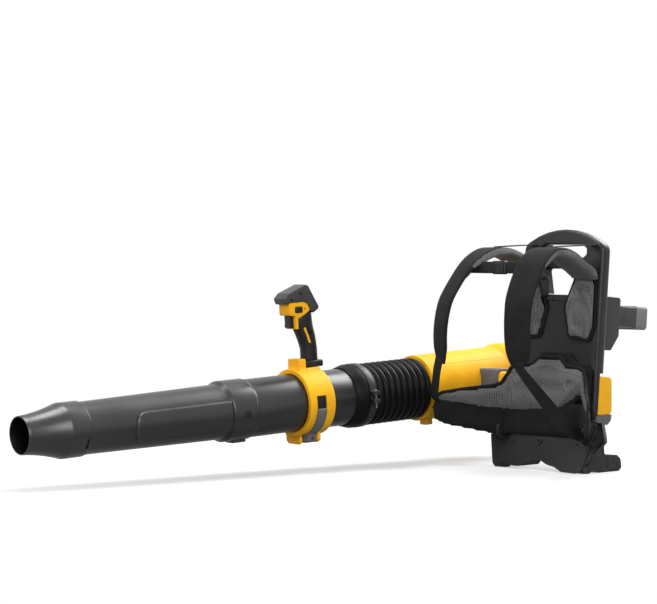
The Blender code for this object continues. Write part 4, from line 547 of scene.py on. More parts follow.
def stitch_tree():
    """Short thread stitches at an even pitch along a line."""
    tree, enter, leave = tree_of("thread_stitches", "GeometryNodeTree", [
        ("Geometry", "Geometry", None), ("Stitch Pitch", "Float", 0.0042), ("Stitch Length", "Float", 0.0028),
        ("Thread Radius", "Float", 0.00042), ("Material", "Material", None)], [("Geometry", "Geometry")])
    line = put(tree, "GeometryNodeMeshToCurve", {"Mesh": enter["Geometry"]})
    even = put(tree, "GeometryNodeCurveToPoints", {"Curve": line.outputs[0], "Length": enter["Stitch Pitch"]},
               mode="LENGTH").outputs
    thread = put(tree, "GeometryNodeMeshUVSphere", {"Segments": 6, "Rings": 4, "Radius": 0.5})
    wide = times(tree, enter["Thread Radius"], 2.0)
    size = put(tree, "ShaderNodeCombineXYZ", {0: wide, 1: wide, 2: enter["Stitch Length"]})
    thread = put(tree, "GeometryNodeTransform", {"Geometry": thread.outputs["Mesh"],
                                                 "Scale": size.outputs[0]})
    return copies_of(tree, enter, leave, even["Points"], thread.outputs[0], even["Rotation"])


SCREWS, STITCHES = screw_tree(), stitch_tree()


def grown(name, mesh, tree, values, body, material, replaces=()):
    """What a geometry tree makes on a mesh of points or lines, as one plain piece."""
    seed = bpy.data.objects.new(name, mesh)
    SCENE.collection.objects.link(seed)
    change = seed.modifiers.new("grow", "NODES")
    change.node_group = tree
    values = {**values, "Material": material}
    for item in tree.interface.items_tree:
        if item.in_out == "INPUT" and item.name in values:
            change[item.identifier] = values[item.name]
    return shown(name, baked(seed), material, body, replaces)


def screws(name, places, body, head, height, material, replaces=()):
    mesh = bpy.data.meshes.new(name + "_points")
    mesh.from_pydata([tuple(point) for point, _ in places], [], [])
    facing = mesh.attributes.new("facing", "FLOAT_VECTOR", "POINT")
    for k, (_, way) in enumerate(places):
        facing.data[k].vector = Vector(way).normalized()
    return grown(name, mesh, SCREWS, {"Head Radius": head, "Head Height": height,
                                      "Socket Radius": head * 0.46}, body, material, replaces)


def stitches(name, lines, body, pitch, length, thread):
    points, edges = [], []
    for line in lines:
        start = len(points)
        points += [tuple(p) for p in line]
        edges += [(start + k, start + k + 1) for k in range(len(line) - 1)]
    mesh = bpy.data.meshes.new(name + "_lines")
    mesh.from_pydata(points, edges, [])
    return grown(name, mesh, STITCHES, {"Stitch Pitch": pitch, "Stitch Length": length,
                                        "Thread Radius": thread}, body, THREAD_GREY)


# ------------------------------------------------------------ camera, floor and light
PICTURE_WIDTH, FOCAL_LENGTH, HORIZON_LIFT = 657, 2521, 62  # pixels
CAMERA_TURN, CAMERA_SPOT = radians(46), Vector((3.2929, -3.7879, 0.4555))
WHITE = (1, 1, 1, 1)


def ray_kinds(tree):
    """The camera's own rays, and all the rays that let an onlooker see a thing."""
    rays = put(tree, "ShaderNodeLightPath").outputs
    seen = sum_of(tree, "MAXIMUM", rays["Is Camera Ray"], rays["Is Glossy Ray"])
    return rays["Is Camera Ray"], sum_of(tree, "MAXIMUM", seen, rays["Is Transmission Ray"])


def add_object(name, data, place, way):
    made = bpy.data.objects.new(name, data)
    made.location = place
    made.rotation_euler = way.to_track_quat("-Z", "Y").to_euler()
    SCENE.collection.objects.link(made)
    return made


def make_floor():
    bm = bmesh.new()
    bmesh.ops.create_grid(bm, x_segments=2, y_segments=2, size=14.0)
    floor = scratch(bm, "floor")
    pale = bpy.data.materials.new("pale_floor")
    pale.use_nodes = True
    tree = pale.node_tree
    principled = tree.nodes["Principled BSDF"]
    principled.inputs["Roughness"].default_value = 0.9
    principled.inputs["Specular IOR Level"].default_value = 0.0
    place = put(tree, "ShaderNodeTexCoord").outputs["Object"]
    pale_tone = mix_of(tree, noise_of(tree, place, 0.6, 2.0), grey(0.84), grey(0.88))
    camera, seen = ray_kinds(tree)
    tree.links.new(mix_of(tree, camera, grey(0.22), pale_tone), principled.inputs["Base Color"])
    far = put(tree, "ShaderNodeVectorMath", {0: place}, operation="LENGTH").outputs["Value"]
    near = sum_of(tree, "ADD", 0.12, times(tree, camera, 0.30))
    share = times(tree, seen, ramp_of(tree, far, 0.25, 1.5, near, 1.0))
    white = put(tree, "ShaderNodeEmission", {"Color": WHITE, "Strength": 1.0})
    mix = put(tree, "ShaderNodeMixShader", {0: share, 1: principled.outputs[0], 2: white.outputs[0]})
    tree.links.new(mix.outputs[0], tree.nodes["Material Output"].inputs["Surface"])
    floor.data.materials.append(pale)


def set_stage():
    target = Matrix.Rotation(CAMERA_TURN, 3, "Z") @ Vector((0, 1, 0))
    pitch = atan(HORIZON_LIFT / FOCAL_LENGTH)
    way = Vector((target.x * cos(pitch), target.y * cos(pitch), -sin(pitch)))
    lens = bpy.data.cameras.new("camera")
    lens.sensor_width, lens.lens = 36.0, FOCAL_LENGTH / PICTURE_WIDTH * 36.0
    SCENE.camera = add_object("camera", lens, MIDDLE + CAMERA_SPOT, way)
    make_floor()

    for name, place, size, power, aim in (
            ("top_softbox", (-0.45, -0.2, 2.2), 0.95, 30, (-0.1, -0.1, 0.1)),
            ("back_softbox", (-0.05, 1.7, 1.75), 1.3, 48, (-0.25, -0.35, 0.15)),
            ("front_softbox", (2.9, -1.5, 1.5), 1.7, 76, (0, 0, 0.2)),
            ("left_softbox", (-1.4, -3.0, 1.5), 1.6, 24, (0, 0, 0.2))):
        lamp = bpy.data.lights.new(name, "AREA")
        lamp.shape, lamp.size, lamp.energy = "SQUARE", size, power
        add_object(name, lamp, place, Vector(aim) - Vector(place))

    world = bpy.data.worlds.new("studio")
    SCENE.world = world
    world.use_nodes = True
    tree = world.node_tree
    tree.nodes.clear()
    soft, white = (put(tree, "ShaderNodeBackground", {"Color": WHITE, "Strength": strength}).outputs[0]
                   for strength in (0.42, 1.0))
    choice = put(tree, "ShaderNodeMixShader", {0: ray_kinds(tree)[1], 1: soft, 2: white})
    put(tree, "ShaderNodeOutputWorld", {"Surface": choice.outputs[0]})
    SCENE.view_settings.view_transform = "Standard"


# ------------------------------------------------------------ back frame and base
def make_back_frame():
    half, low, shoulder, top, depth = 0.104, 0.100, 0.448, 0.479, 0.028
    fall = (top - shoulder) / half ** 2
    right = [(half, low), (half, shoulder)]
    right += [(half * share, top - fall * (half * share) ** 2) for share in (0.66, 0.44, 0.22)]
    outline = rounded(mirrored(right, [(0.0, top)]), 0.024, 10)
    frame_body = pillow(outline, 0.0, depth, 1, 0.0075, 0.0105, 5)
    chamfer, grip = 0.014, 0.060
    opening = mirrored([(grip - chamfer, 0.420), (grip, 0.420 + chamfer * 0.6), (grip, 0.449 - chamfer * 0.6),
                        (grip - chamfer, 0.449)])
    window = mirrored([(0.038, 0.348), (0.050, 0.401)])
    cuts = [prism(rounded(hole, radius, 5), -0.02, 0.05, 1)
            for hole, radius in ((opening, 0.006), (window, 0.007))]
    for hole, size in ((opening, 0.0022), (window, 0.0016)):
        shape = rounded(hole, 0.006, 5)
        for level, way in ((0.0, 1), (depth, -1)):
            flare = [(inset(shape, -size * 1.6), level - way * size), (inset(shape, -size), level),
                     (inset(shape, -size * 0.3), level + way * size * 0.7), (shape, level + way * size * 1.5)]
            cuts.append(stacked(flare, 1))
    cuts.append(box((-0.084, 0.006, 0.185), (0.084, 0.04, 0.338)))
    cuts.append(box((-1, 0.012, 0.08), (1, 0.04, 0.195)))
    plate = oblong(-0.081, 0.081, 0.192, 0.336, 0.008)
    cuts.append(stacked([(inset(plate, -0.002), -0.001), (plate, 0.0012)], 1))
    frame_body = carved(frame_body, cuts)
    shown("back_frame_shell", frame_body, FRAME_BLACK, "pack", "back_frame", LEAN, 24)

    clips = [pillow(oblong(x - 0.006, x + 0.006, 0.3355, 0.3425), -0.0012, 0.0015, 1, 0.0010, steps=2)
             for x in (-0.024, 0.014)]
    shown("plate_clips", merged(clips), FRAME_BLACK, "pack", (), LEAN)
    tab = rounded([(-0.052, 0.346), (-0.034, 0.343), (-0.028, 0.352), (-0.030, 0.379), (-0.037, 0.384),
                   (-0.058, 0.381)], 0.004)
    shown("window_tab", pillow(tab, -0.0045, 0.0006, 1, 0.0022, steps=3), FRAME_BLACK, "pack", (), LEAN)


def make_base():
    finished("base_foot", FRAME_BLACK, 0)
    front, foot, thick, height, side = -0.012, 0.054, 0.0028, 0.056, 0.082
    slope = (front_line(0.0986) - front) / (0.0986 - foot)
    way = Vector((0, -1, slope)).normalized()
    edge = [(-0.137, 0.070), (-0.110, 0.002), (-0.090, 0.012), (-0.068, 0.007), (-0.046, 0.006),
            (-0.018, 0.019), (0.008, 0.020), (0.028, 0.013), (0.048, 0.010), (0.070, 0.002), (0.1185, 0.001),
            (0.1185, 0.097), (-0.100, 0.097)]
    apron = pillow(rounded(edge, 0.014, 6), -thick, -0.0004, 1, 0.0010, steps=3)
    for v in apron.verts:
        v.co.y += front + (v.co.z - foot) * 0.585
    shown("base_apron", apron, FRAME_BLACK, "pack", (), BASE, 40)
    face = front + 0.002 * slope - thick - 0.0002
    spots = [(BASE @ Vector((x, face, height)), way) for x in (-side, side)]
    screws("base_screws", spots, "pack", 0.0046, 0.0018, BLACK_STEEL, ("base_screw_left", "base_screw_right"))
    turn = Vector((0, 0, 1)).rotation_difference(way).to_matrix().to_4x4()
    shown("base_hole_ring", pipe(0.0068, 0.0036, -0.0002, 0.0016, 32), FRAME_BLACK, "pack", (),
          Matrix.Translation(BASE @ Vector((-0.012, face, height))) @ turn)


# ------------------------------------------------------------ padding
CLOTH_FRAMES, PRESSURE = 20, 4.0
SWAY = 0.0012  # how far a point may move along the pad


def stuffed(bm, flat_back, cap, voxel=0.005):
    """The form remeshed, blown up as cloth with a limit on how far each point moves, and smoothed."""
    obj = scratch(bm, "stuffing")
    mesh_it = obj.modifiers.new("even", "REMESH")
    mesh_it.mode, mesh_it.voxel_size = "VOXEL", voxel
    obj = scratch(baked(obj), "stuffing")
    start = [v.co.copy() for v in obj.data.vertices]
    cloth = obj.modifiers.new("cloth", "CLOTH")
    settings = cloth.settings
    settings.quality, settings.mass = 5, 0.3
    settings.use_pressure, settings.uniform_pressure_force = True, PRESSURE
    settings.effector_weights.gravity = 0.0
    cloth.point_cache.frame_start, cloth.point_cache.frame_end = 1, CLOTH_FRAMES
    for step in range(1, CLOTH_FRAMES + 1):
        SCENE.frame_set(step)
    bm = baked(obj)
    SCENE.frame_set(1)
    for v, rest in zip(bm.verts, start):
        gone = v.co - rest
        sway = max(hypot(gone.x, gone.z) / SWAY, 1.0)
        v.co = rest + Vector((gone.x / sway, max(-cap, min(cap, gone.y)), gone.z / sway))
    for _ in range(3):
        bmesh.ops.smooth_vert(bm, verts=bm.verts, factor=0.5, use_axis_x=True, use_axis_y=True,
                              use_axis_z=True)
    if flat_back is not None:
        for v in bm.verts:
            v.co.y = min(v.co.y, flat_back)
    obj = scratch(bm, "stuffing")
    finer = obj.modifiers.new("finer", "SUBSURF")
    finer.levels = finer.render_levels = 1
    return baked(obj)


def press(bm, middle, dimples=(), channels=(), side=-1):
    """Tufts and sewn channels pressed into the side of the pad that faces -Y, or +Y with side 1."""
    for v in bm.verts:
        if (v.co.y - middle) * side <= 0:
            continue
        depth = 0.0
        for x, z, radius, deep in dimples:
            depth += deep * exp(-(((v.co.x - x) ** 2 + (v.co.z - z) ** 2) / radius ** 2))
        for (x0, z0), (x1, z1), radius, deep in channels:
            a, b, p = Vector((x0, z0)), Vector((x1, z1)), Vector((v.co.x, v.co.z))
            share = max(0.0, min(1.0, (p - a).dot(b - a) / (b - a).length_squared))
            depth += deep * exp(-((p - a.lerp(b, share)).length / radius) ** 2)
        v.co.y -= side * depth
    return bm


def piping(outline, level, radius, steps=8):
    """A thin bound edge that follows a closed outline in the XZ plane at a level of Y."""
    bm = bmesh.new()
    points = [Vector((x, level, z)) for x, z in outline]
    rings = []
    for i, point in enumerate(points):
        along = (points[(i + 1) % len(points)] - points[i - 1]).normalized()
        across = along.cross(Vector((0, 0, 1)) if abs(along.z) < 0.8 else Vector((0, 1, 0))).normalized()
        upward = across.cross(along)
        rings.append([bm.verts.new(point + across * radius * cos(tau * k / steps)
                                   + upward * radius * sin(tau * k / steps)) for k in range(steps)])
    for a, b in zip(rings, rings[1:] + rings[:1]):
        shift = 0
        if b is rings[0]:  # the last ring meets the first at the nearest turn
            shift = min(range(steps), key=lambda s: sum((a[k].co - b[(k + s) % steps].co).length
                                                        for k in range(steps)))
        for k in range(steps):
            m = (k + 1) % steps
            bm.faces.new((a[k], a[m], b[(m + shift) % steps], b[(k + shift) % steps]))
    return facing_out(bm)


def make_upper_pads():
    back = -0.0003
    for side, name in SIDES:
        corners = [(0.030, 0.262), (0.084, 0.256), (0.096, 0.286), (0.094, 0.372), (0.086, 0.385),
                   (0.040, 0.386), (0.014, 0.322)]
        outline = [(side * (x + (0.0 if side > 0 else 0.017)), z) for x, z in rounded(corners, 0.010, 5)]
        start = pillow(inset(outline, 0.002), back - 0.0085, back - 0.0005, 1, 0.003, steps=2)
        pad = stuffed(start, back, 0.0055)
        press(pad, -0.004, [(side * 0.052, 0.352, 0.008, 0.0045), (side * 0.050, 0.288, 0.008, 0.0045)])
        pad = shown(f"upper_pad_{name}_stuffed", pad, MESH_GREY, "pack", f"upper_pad_{name}", LEAN, 80)
        edge = piping(inset(outline, 0.0008), back - 0.0028, 0.0020)
        shown(f"upper_pad_{name}_binding", edge, FABRIC_BLACK, "pack", (), LEAN, 80)


def lap(value):
    value = max(0.0, min(1.0, value))
    return value * value * (3 - 2 * value)


def wrapped(bm):
    """Bends flat padding (across, through, up) round the hips: first on the frame, then along each wing."""
    step, count, bend_start, bend_length = 0.001, 300, 0.074, 0.030
    flat_end, flat_fade, frame_gap, wing_level, thin = 0.070, 0.060, 0.0170, 0.0040, 0.65
    tables = {}
    for sign, splay in ((1, 47.5), (-1, 44.5)):
        run = [(0.0, 0.0, 0.0)]
        for k in range(1, count + 1):
            turn = radians(splay) * lap((k * step - bend_start) / bend_length)
            x, y, _ = run[-1]
            run.append((x + step * cos(turn), y - step * sin(turn), turn))
        tables[sign] = run
    for v in bm.verts:
        sign, along, through, z = (1 if v.co.x >= 0 else -1), abs(v.co.x), v.co.y, v.co.z
        k = min(int(along * 1000), count - 1)
        share = along * 1000 - k
        (x0, y0, a0), (x1, y1, a1) = tables[sign][k], tables[sign][k + 1]
        x, y, turn = x0 + (x1 - x0) * share, y0 + (y1 - y0) * share, a0 + (a1 - a0) * share
        flat = 1 - lap((along - flat_end) / flat_fade)
        through *= thin + (1 - thin) * flat
        level = flat * (front_line(z) - frame_gap) + (1 - flat) * wing_level
        v.co = Vector((sign * (x + through * sin(turn)), level + y + through * cos(turn), z))
    return bm


def make_hip_padding():
    right = [(0.082, 0.102), (0.094, 0.116), (0.094, 0.200), (0.080, 0.212), (0.052, 0.215), (0.034, 0.233)]
    outline = rounded(mirrored(right), 0.006, 4)
    back = -0.0003
    shown("lumbar_backing_panel", pillow(outline, back - 0.008, back, 1, 0.0030, 0.0010, 3), FABRIC_BLACK,
          "pack", "lumbar_backing", LEAN, 60)
    shape = rounded([
        (-0.090, 0.106), (0.026, 0.110), (0.084, 0.145), (0.100, 0.136), (0.150, 0.122), (0.245, 0.116),
        (0.251, 0.122), (0.251, 0.140), (0.243, 0.149), (0.210, 0.157), (0.135, 0.166), (0.118, 0.172),
        (0.104, 0.188), (0.094, 0.200), (0.078, 0.206), (0.042, 0.211), (0.026, 0.226), (-0.030, 0.226),
        (-0.045, 0.212), (-0.094, 0.207), (-0.102, 0.200), (-0.109, 0.187), (-0.120, 0.171),
        (-0.135, 0.166), (-0.200, 0.158), (-0.240, 0.151), (-0.251, 0.144), (-0.251, 0.132),
        (-0.243, 0.126), (-0.200, 0.120), (-0.150, 0.110)], 0.009)
    start = pillow(inset(shape, 0.0022), -0.0050, 0.0050, 1, 0.003, steps=2)
    pad = stuffed(start, 0.0078, 0.0060, voxel=0.0055)
    press(pad, 0.0, [(-0.082, 0.186, 0.009, 0.006), (0.057, 0.170, 0.009, 0.006)],
          [((-0.105, 0.112), (-0.096, 0.200), 0.005, 0.0010)])
    pad.normal_update()
    for face in pad.faces:
        face.material_index = 1 if face.normal.y > -0.6 else 0
    pad = shown("hip_padding", wrapped(pad), [MESH_GREY, FABRIC_BLACK], "pack",
                ("lumbar_pad", "belt_wing_left", "belt_wing_right"), BASE, 80)
    rim = piping(rounded(inset(shape, 0.0032), 0.004, 2), 0.0, 0.0040)
    shown("hip_padding_binding", wrapped(rim), FABRIC_BLACK, "pack", (), BASE, 80)

    skirt = mirrored([(0.060, 0.059), (0.122, 0.059), (0.146, 0.062), (0.166, 0.066), (0.236, 0.080),
                      (0.259, 0.094), (0.263, 0.122), (0.252, 0.140), (0.150, 0.138), (0.086, 0.140)])
    start = pillow(inset(rounded(skirt, 0.006), 0.0025), -0.0030, 0.0045, 1, 0.0025, steps=2)
    panel = stuffed(start, None, 0.0035)
    seams = [((sign * x, low), (sign * x, 0.122), 0.0030, 0.0026) for sign, _ in SIDES
             for x, low in ((0.226, 0.080), (0.186, 0.070), (0.164, 0.066), (0.112, 0.062))]
    for way in (-1, 1):
        press(panel, 0.0, (), seams, way)
    panel = shown("hip_skirt", wrapped(panel), FABRIC_BLACK, "pack", (), BASE, 80)


# ------------------------------------------------------------ harness
def smooth_path(points, per_span):
    points = [Vector(p) for p in points]
    ends = [points[0] * 2 - points[1]] + points + [points[-1] * 2 - points[-2]]
    path = []
    for i in range(1, len(ends) - 2):
        a, b, c, d = ends[i - 1:i + 3]
        for k in range(per_span):
            t = k / per_span
            path.append(0.5 * ((2 * b) + (c - a) * t + (2 * a - 5 * b + 4 * c - d) * t ** 2
                               + (3 * b - a - 3 * c + d) * t ** 3))
    path.append(points[-1])
    return path


def strap(path, widths, section, across, materials=None):
    """A strap along a path. The section is a closed list of (share of width, height above the path)."""
    bm = bmesh.new()
    cloth = bm.loops.layers.uv.new("cloth")
    rings, stations, run = [], [], 0.0
    for i, point in enumerate(path):
        if i:
            run += (point - path[i - 1]).length
        stations.append(run)
        along = (path[min(i + 1, len(path) - 1)] - path[max(i - 1, 0)]).normalized()
        way = across[i] if isinstance(across, list) else Vector(across)
        way = (way - along * way.dot(along)).normalized()
        outward = way.cross(along).normalized()
        wide = widths[i] if isinstance(widths, list) else widths
        here = section[i] if isinstance(section[0], list) else section
        rings.append([bm.verts.new(point + way * wide * share + outward * level) for share, level in here])
    sides = len(rings[0])
    for i, (a, b) in enumerate(zip(rings, rings[1:])):
        for k in range(sides):
            m = (k + 1) % sides
            face = bm.faces.new((a[k], a[m], b[m], b[k]))
            if materials:
                face.material_index = materials(i, k)
            for loop, u, v in zip(face.loops, (k, k + 1, k + 1, k), (i, i, i + 1, i + 1)):
                loop[cloth].uv = (u / sides, stations[v])
    bm.faces.new(rings[0])
    bm.faces.new(list(reversed(rings[-1])))
    return facing_out(bm)


SHOULDER_FRONT = front_line(0.385) - 0.0009
SHOULDER_PATH = [
    (0.068, SHOULDER_FRONT, 0.384), (0.069, SHOULDER_FRONT - 0.013, 0.402), (0.070, -0.006, 0.417),
    (0.071, -0.036, 0.4325), (0.072, -0.072, 0.4410), (0.076, -0.110, 0.4365), (0.084, -0.151, 0.410),
    (0.094, -0.192, 0.355), (0.099, -0.206, 0.318), (0.102, -0.211, 0.270), (0.103, -0.206, 0.214)]
STRAP_TOP = mirrored([(-0.50, -0.0045), (-0.485, -0.0022), (-0.44, -0.0010), (-0.36, -0.0004),
                      (-0.2, -0.0001)], [(0.0, 0.0)])
STRAP_LINING = [(0.50, -0.0062), (0.49, -0.0080), (0.44, -0.0096), (0.34, -0.0108), (0.18, -0.0114)]
LINED, WIDE, NARROW = 0.60, 0.063, 0.051  # share of the strap with a lining, and its widths


def strap_form(share, side):
    """The strap's direction across, width and section at a share of its length."""
    turn = radians(20) * min(1.0, max(0.0, (share - 0.25) / 0.4))
    end = max(0.0, (share - 0.93) / 0.07)
    width = (WIDE + (NARROW - WIDE) * max(0.0, (share - 0.45) / 0.55)) * (1 - 0.42 * end ** 2)
    puff = 1 + 0.70 * lap((share + 0.02) / 0.1) * (1 - lap((share - LINED + 0.04) / 0.06))
    puff *= 0.78 if share > LINED + 0.04 else 1.0
    puff *= 1 - 0.5 * end ** 2
    swell = 0.095 * (puff - 0.78) / 0.92
    section = (STRAP_TOP + [(x + (swell if x > 0.45 else 0.0), level * puff) for x, level in STRAP_LINING]
               + [(0.0, -0.0116 * puff)] + [(-x, level * puff) for x, level in reversed(STRAP_LINING)])
    if side < 0:
        section = [(-x, level) for x, level in reversed(section)]
    return Vector((-cos(turn), -side * sin(turn), 0)), width, section


def make_shoulder_straps():
    """Black bands over a thick grey mesh lining that wraps the inner edge and stops half way down."""
    for side, name in SIDES:
        path = smooth_path([BASE @ Vector((side * x, y, z)) for x, y, z in SHOULDER_PATH], 8)
        last = len(path) - 1
        across, widths, sections = (list(part) for part in zip(*[strap_form(k / last, side)
                                                                 for k in range(last + 1)]))

        def kind(i, k):
            """1 where the lining shows, and 0 on the black band."""
            (x0, low0), (x1, low1) = sections[i][k], sections[i][(k + 1) % len(sections[i])]
            mid, deep = (x0 + x1) / 2, (low0 + low1) / 2
            lined = deep < -0.0062 or (deep < -0.0024 and mid * side > 0.45)
            return int(lined and i / last <= LINED)

        shape = strap(path, widths, sections, across, kind)
        made = shown(f"shoulder_strap_{name}_padded", shape, [FABRIC_BLACK, MESH_GREY], "pack",
                     f"shoulder_strap_{name}", None, 60)
        lines = [[], []]
        for i in range(2, last - 3):
            along = (path[i + 1] - path[i - 1]).normalized()
            way = (across[i] - along * across[i].dot(along)).normalized()
            for line, share in zip(lines, (-0.43, 0.43)):
                line.append(path[i] + way * widths[i] * share + way.cross(along).normalized() * -0.0006)
        stitches(f"shoulder_strap_{name}_stitches", lines, "pack", 0.0052, 0.0034, 0.00034)


def flat_section(thickness):
    off = thickness * 0.35 * 0.4
    return (mirrored([(-0.5, -thickness / 2), (-0.49, -off), (-0.46, 0), (-0.2, 0)])
            + mirrored([(0.49, -thickness + off), (0.46, -thickness), (0.2, -thickness)]))


def band(node, path, width, across):
    """Flat webbing along a path, in place of the solid band."""
    shown(node + "_band", strap(path, width, flat_section(0.002), across), WEBBING_BLACK, "pack", node, None,
          60)


def make_webbing():
    beside = 0.0003 + 0.002
    left = [(0.103, -0.2075, 0.222), (0.103, -0.197, 0.207), (0.103, -0.172, 0.184), (0.1035, -0.117, 0.134),
            (0.1045, -0.080, 0.100), (0.106 - beside, -0.045, 0.080), (0.106 - beside, -0.014, 0.074)]
    path = smooth_path([BASE @ Vector(p) for p in left], 6)
    turn = [Vector((1, 0, 0)).lerp(Vector((0, 0, 1)), min(1, (k / (len(path) * 7 / 11)) ** 2))
            for k in range(len(path))]
    band("webbing_left", path, 0.025, turn)
    right = [(-0.103, -0.2065, 0.222), (-0.136, -0.178, 0.197), (-0.170, -0.146, 0.170),
             (-0.205, -0.112, 0.143), (-0.215, -0.088, 0.127), (-0.198, -0.052, 0.105),
             (-0.150, -0.024, 0.083), (-0.1146, -0.019, 0.074)]
    path = smooth_path([BASE @ Vector(p) for p in right], 6)
    side = Vector((0.88, -0.47, 0))
    turn = [side.lerp(Vector((0, 0, -1)), lap((k / len(path) - 0.55) / 0.3)) for k in range(len(path))]
    band("webbing_right", path, 0.025, turn)


def make_chest_strap():
    z, y, half = 0.402, -0.146, 0.0115
    for side, name in SIDES:
        low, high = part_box(f"chest_strap_{name}")
        ends = [Vector((x, BASE.translation.y + y, z)) for x in (low.x, high.x)[::side]]
        ends[1].x += side * 0.034
        path = [ends[0].lerp(ends[1], k / 10) for k in range(11)]
        band(f"chest_strap_{name}", path, 0.023, (0, 0, side * -1.0))
    outline = oblong(-0.018, 0.018, z - half * 1.15, z + half * 1.15, 0.005, 5)
    buckle = pillow(outline, y - 0.003, y + 0.006, 1, 0.0020, steps=3)
    cuts = [prism(oblong(x - 0.0011, x + 0.0011, z - half, z + half), y - 0.006, y - 0.0018, 1)
            for x in (-0.0125, 0.0125)]
    cuts.append(prism(oblong(-0.0085, 0.0085, z - 0.0055, z + 0.0055, 0.003, 3), y - 0.006, y - 0.0022, 1))
    shown("chest_buckle_body", carved(buckle, cuts), FRAME_BLACK, "pack", "chest_buckle", BASE, 30)


def make_load_lifters():
    top = 0.4465
    back = front_line(top - 0.002) - 0.0003 - 0.0008
    for side, name in SIDES:
        path = [BASE @ Vector((side * x, y, z)) for x, y, z in (
            (0.072, -0.072, 0.4430), (0.076, -0.020, 0.4450), (0.080, back, top))]
        band(f"load_lifter_{name}", smooth_path(path, 6), 0.020, (1, 0, 0))


# ------------------------------------------------------------ power pack
def make_power_pack():
    for node, material, width, segments in (
            ("electronics_housing", YELLOW, 0.0022, 3), ("electronics_bumper", BUMPER_GREY, 0.0015, 3),
            ("battery_dock", SHELL_BLACK, 0.0016, 3), ("battery_shell", SHELL_BLACK, 0.0014, 3),
            ("battery_cap", BATTERY_GREY, 0.0030, 4), ("battery_release", LEVER_GREY, 0.0008, 2),
            ("fan_mount", BUMPER_GREY, 0.0018, 3)):
        finished(node, material, width, segments)
    repaint(BOARD_GREEN, "controller_board")
    repaint(CELL_WRAP, "battery_cells")
    repaint(STEEL, "motor")
    repaint(BRIGHT_STEEL, "motor_bearings", "rotor_shaft")
    repaint(HEAD_GREY, "stator", "rotor", "tail_cone", "trigger_switch")


def make_fan_housing():
    inner, seam = 0.0623, 0.047
    profile = rounded([(0.067, 0.006), (0.067, -0.205), (0.0725, -0.219), (0.0725, -0.250), (0.0685, -0.256),
                       (inner + 0.004, -0.256), (inner, -0.246), (inner, -0.030), (0.0515, 0.002),
                       (0.0515, 0.006)], 0.0016, 3)
    for name, low, high in (("upper", seam + 0.00015, 0.2), ("lower", -0.2, seam - 0.00015)):
        shell = carved(turned(profile), box((-0.2, low, -0.4), (0.2, high, 0.2)), "INTERSECT")
        if name == "lower":
            boss = pillow(oblong(0.0, 0.022, -0.076, -0.060, 0.003, 3), -0.022, -0.006, 2, 0.001, steps=2)
            shell = carved(shell, boss, "UNION")
        soften(shell, 0.0007, 2, 40)
        shown(f"fan_housing_{name}_shell", shell, YELLOW, "pack", f"fan_housing_{name}", TUBE, 30)
    finished("intake_grille", FRAME_BLACK, 0.0005, 1)


def make_hose():
    crest, root, bore = 0.0625, 0.0555, 0.0515

    def ribs(low, high, count):
        points = [(bore, low), (root, low)]
        pitch, steps = (high - low) / count, 12
        for k in range(count):
            start = low + pitch * k
            points += [(root + (crest - root) * sin(pi * (m / steps)) ** 0.62, start + pitch * (m / steps))
                       for m in range(1, steps)]
            if k < count - 1:
                points.append((root - 0.0004, start + pitch))
        return turned(points + [(root, high), (bore, high)])

    def at(station):
        return TUBE @ Vector((0, 0, station))

    rear = shown("hose_rear_ribs", ribs(0.0063, 0.08435, 5), HOSE_BLACK, None, "bellows_rear", TUBE, 50)
    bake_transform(rear)
    front = shown("hose_front_ribs", ribs(0.08465, 0.147, 4), HOSE_BLACK, None, "bellows_front", TUBE, 50)
    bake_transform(front)


def make_cuff():
    radius, end, taper, start, stop = 0.064, 0.200, 0.018, 0.155, 0.170
    inner = 0.0570
    ridges = [(radius, end - taper)]
    profile = [(radius - 0.005, end)] + ridges
    for station in (0.1805, 0.1770):
        profile += [(radius, station + 0.0012), (radius - 0.0008, station), (radius, station - 0.0010)]
    profile += [(radius, stop + 0.002), (radius - 0.002, stop + 0.001), (radius - 0.002, start - 0.001),
                (0.0605, 0.1473), (0.0515, 0.1473), (0.0515, 0.156), (inner, 0.1565), (inner, end)]
    shown("hose_cuff_body", turned(rounded(profile, 0.0014, 3)), HOSE_BLACK, "cuff", "bellows_cuff", TUBE, 40)
    finished("hose_clamp", BLACK_STEEL, 0.0006, 2)
    finished("hose_clamp_bolt", STEEL, 0.0004, 2)


# ------------------------------------------------------------ blower tubes
def button_hole():
    """The opening that the lock button stands in, through both tubes."""
    return moved(box((0.045, -0.0066, 0.4634), (0.07, 0.0066, 0.4776)), spun(-5))


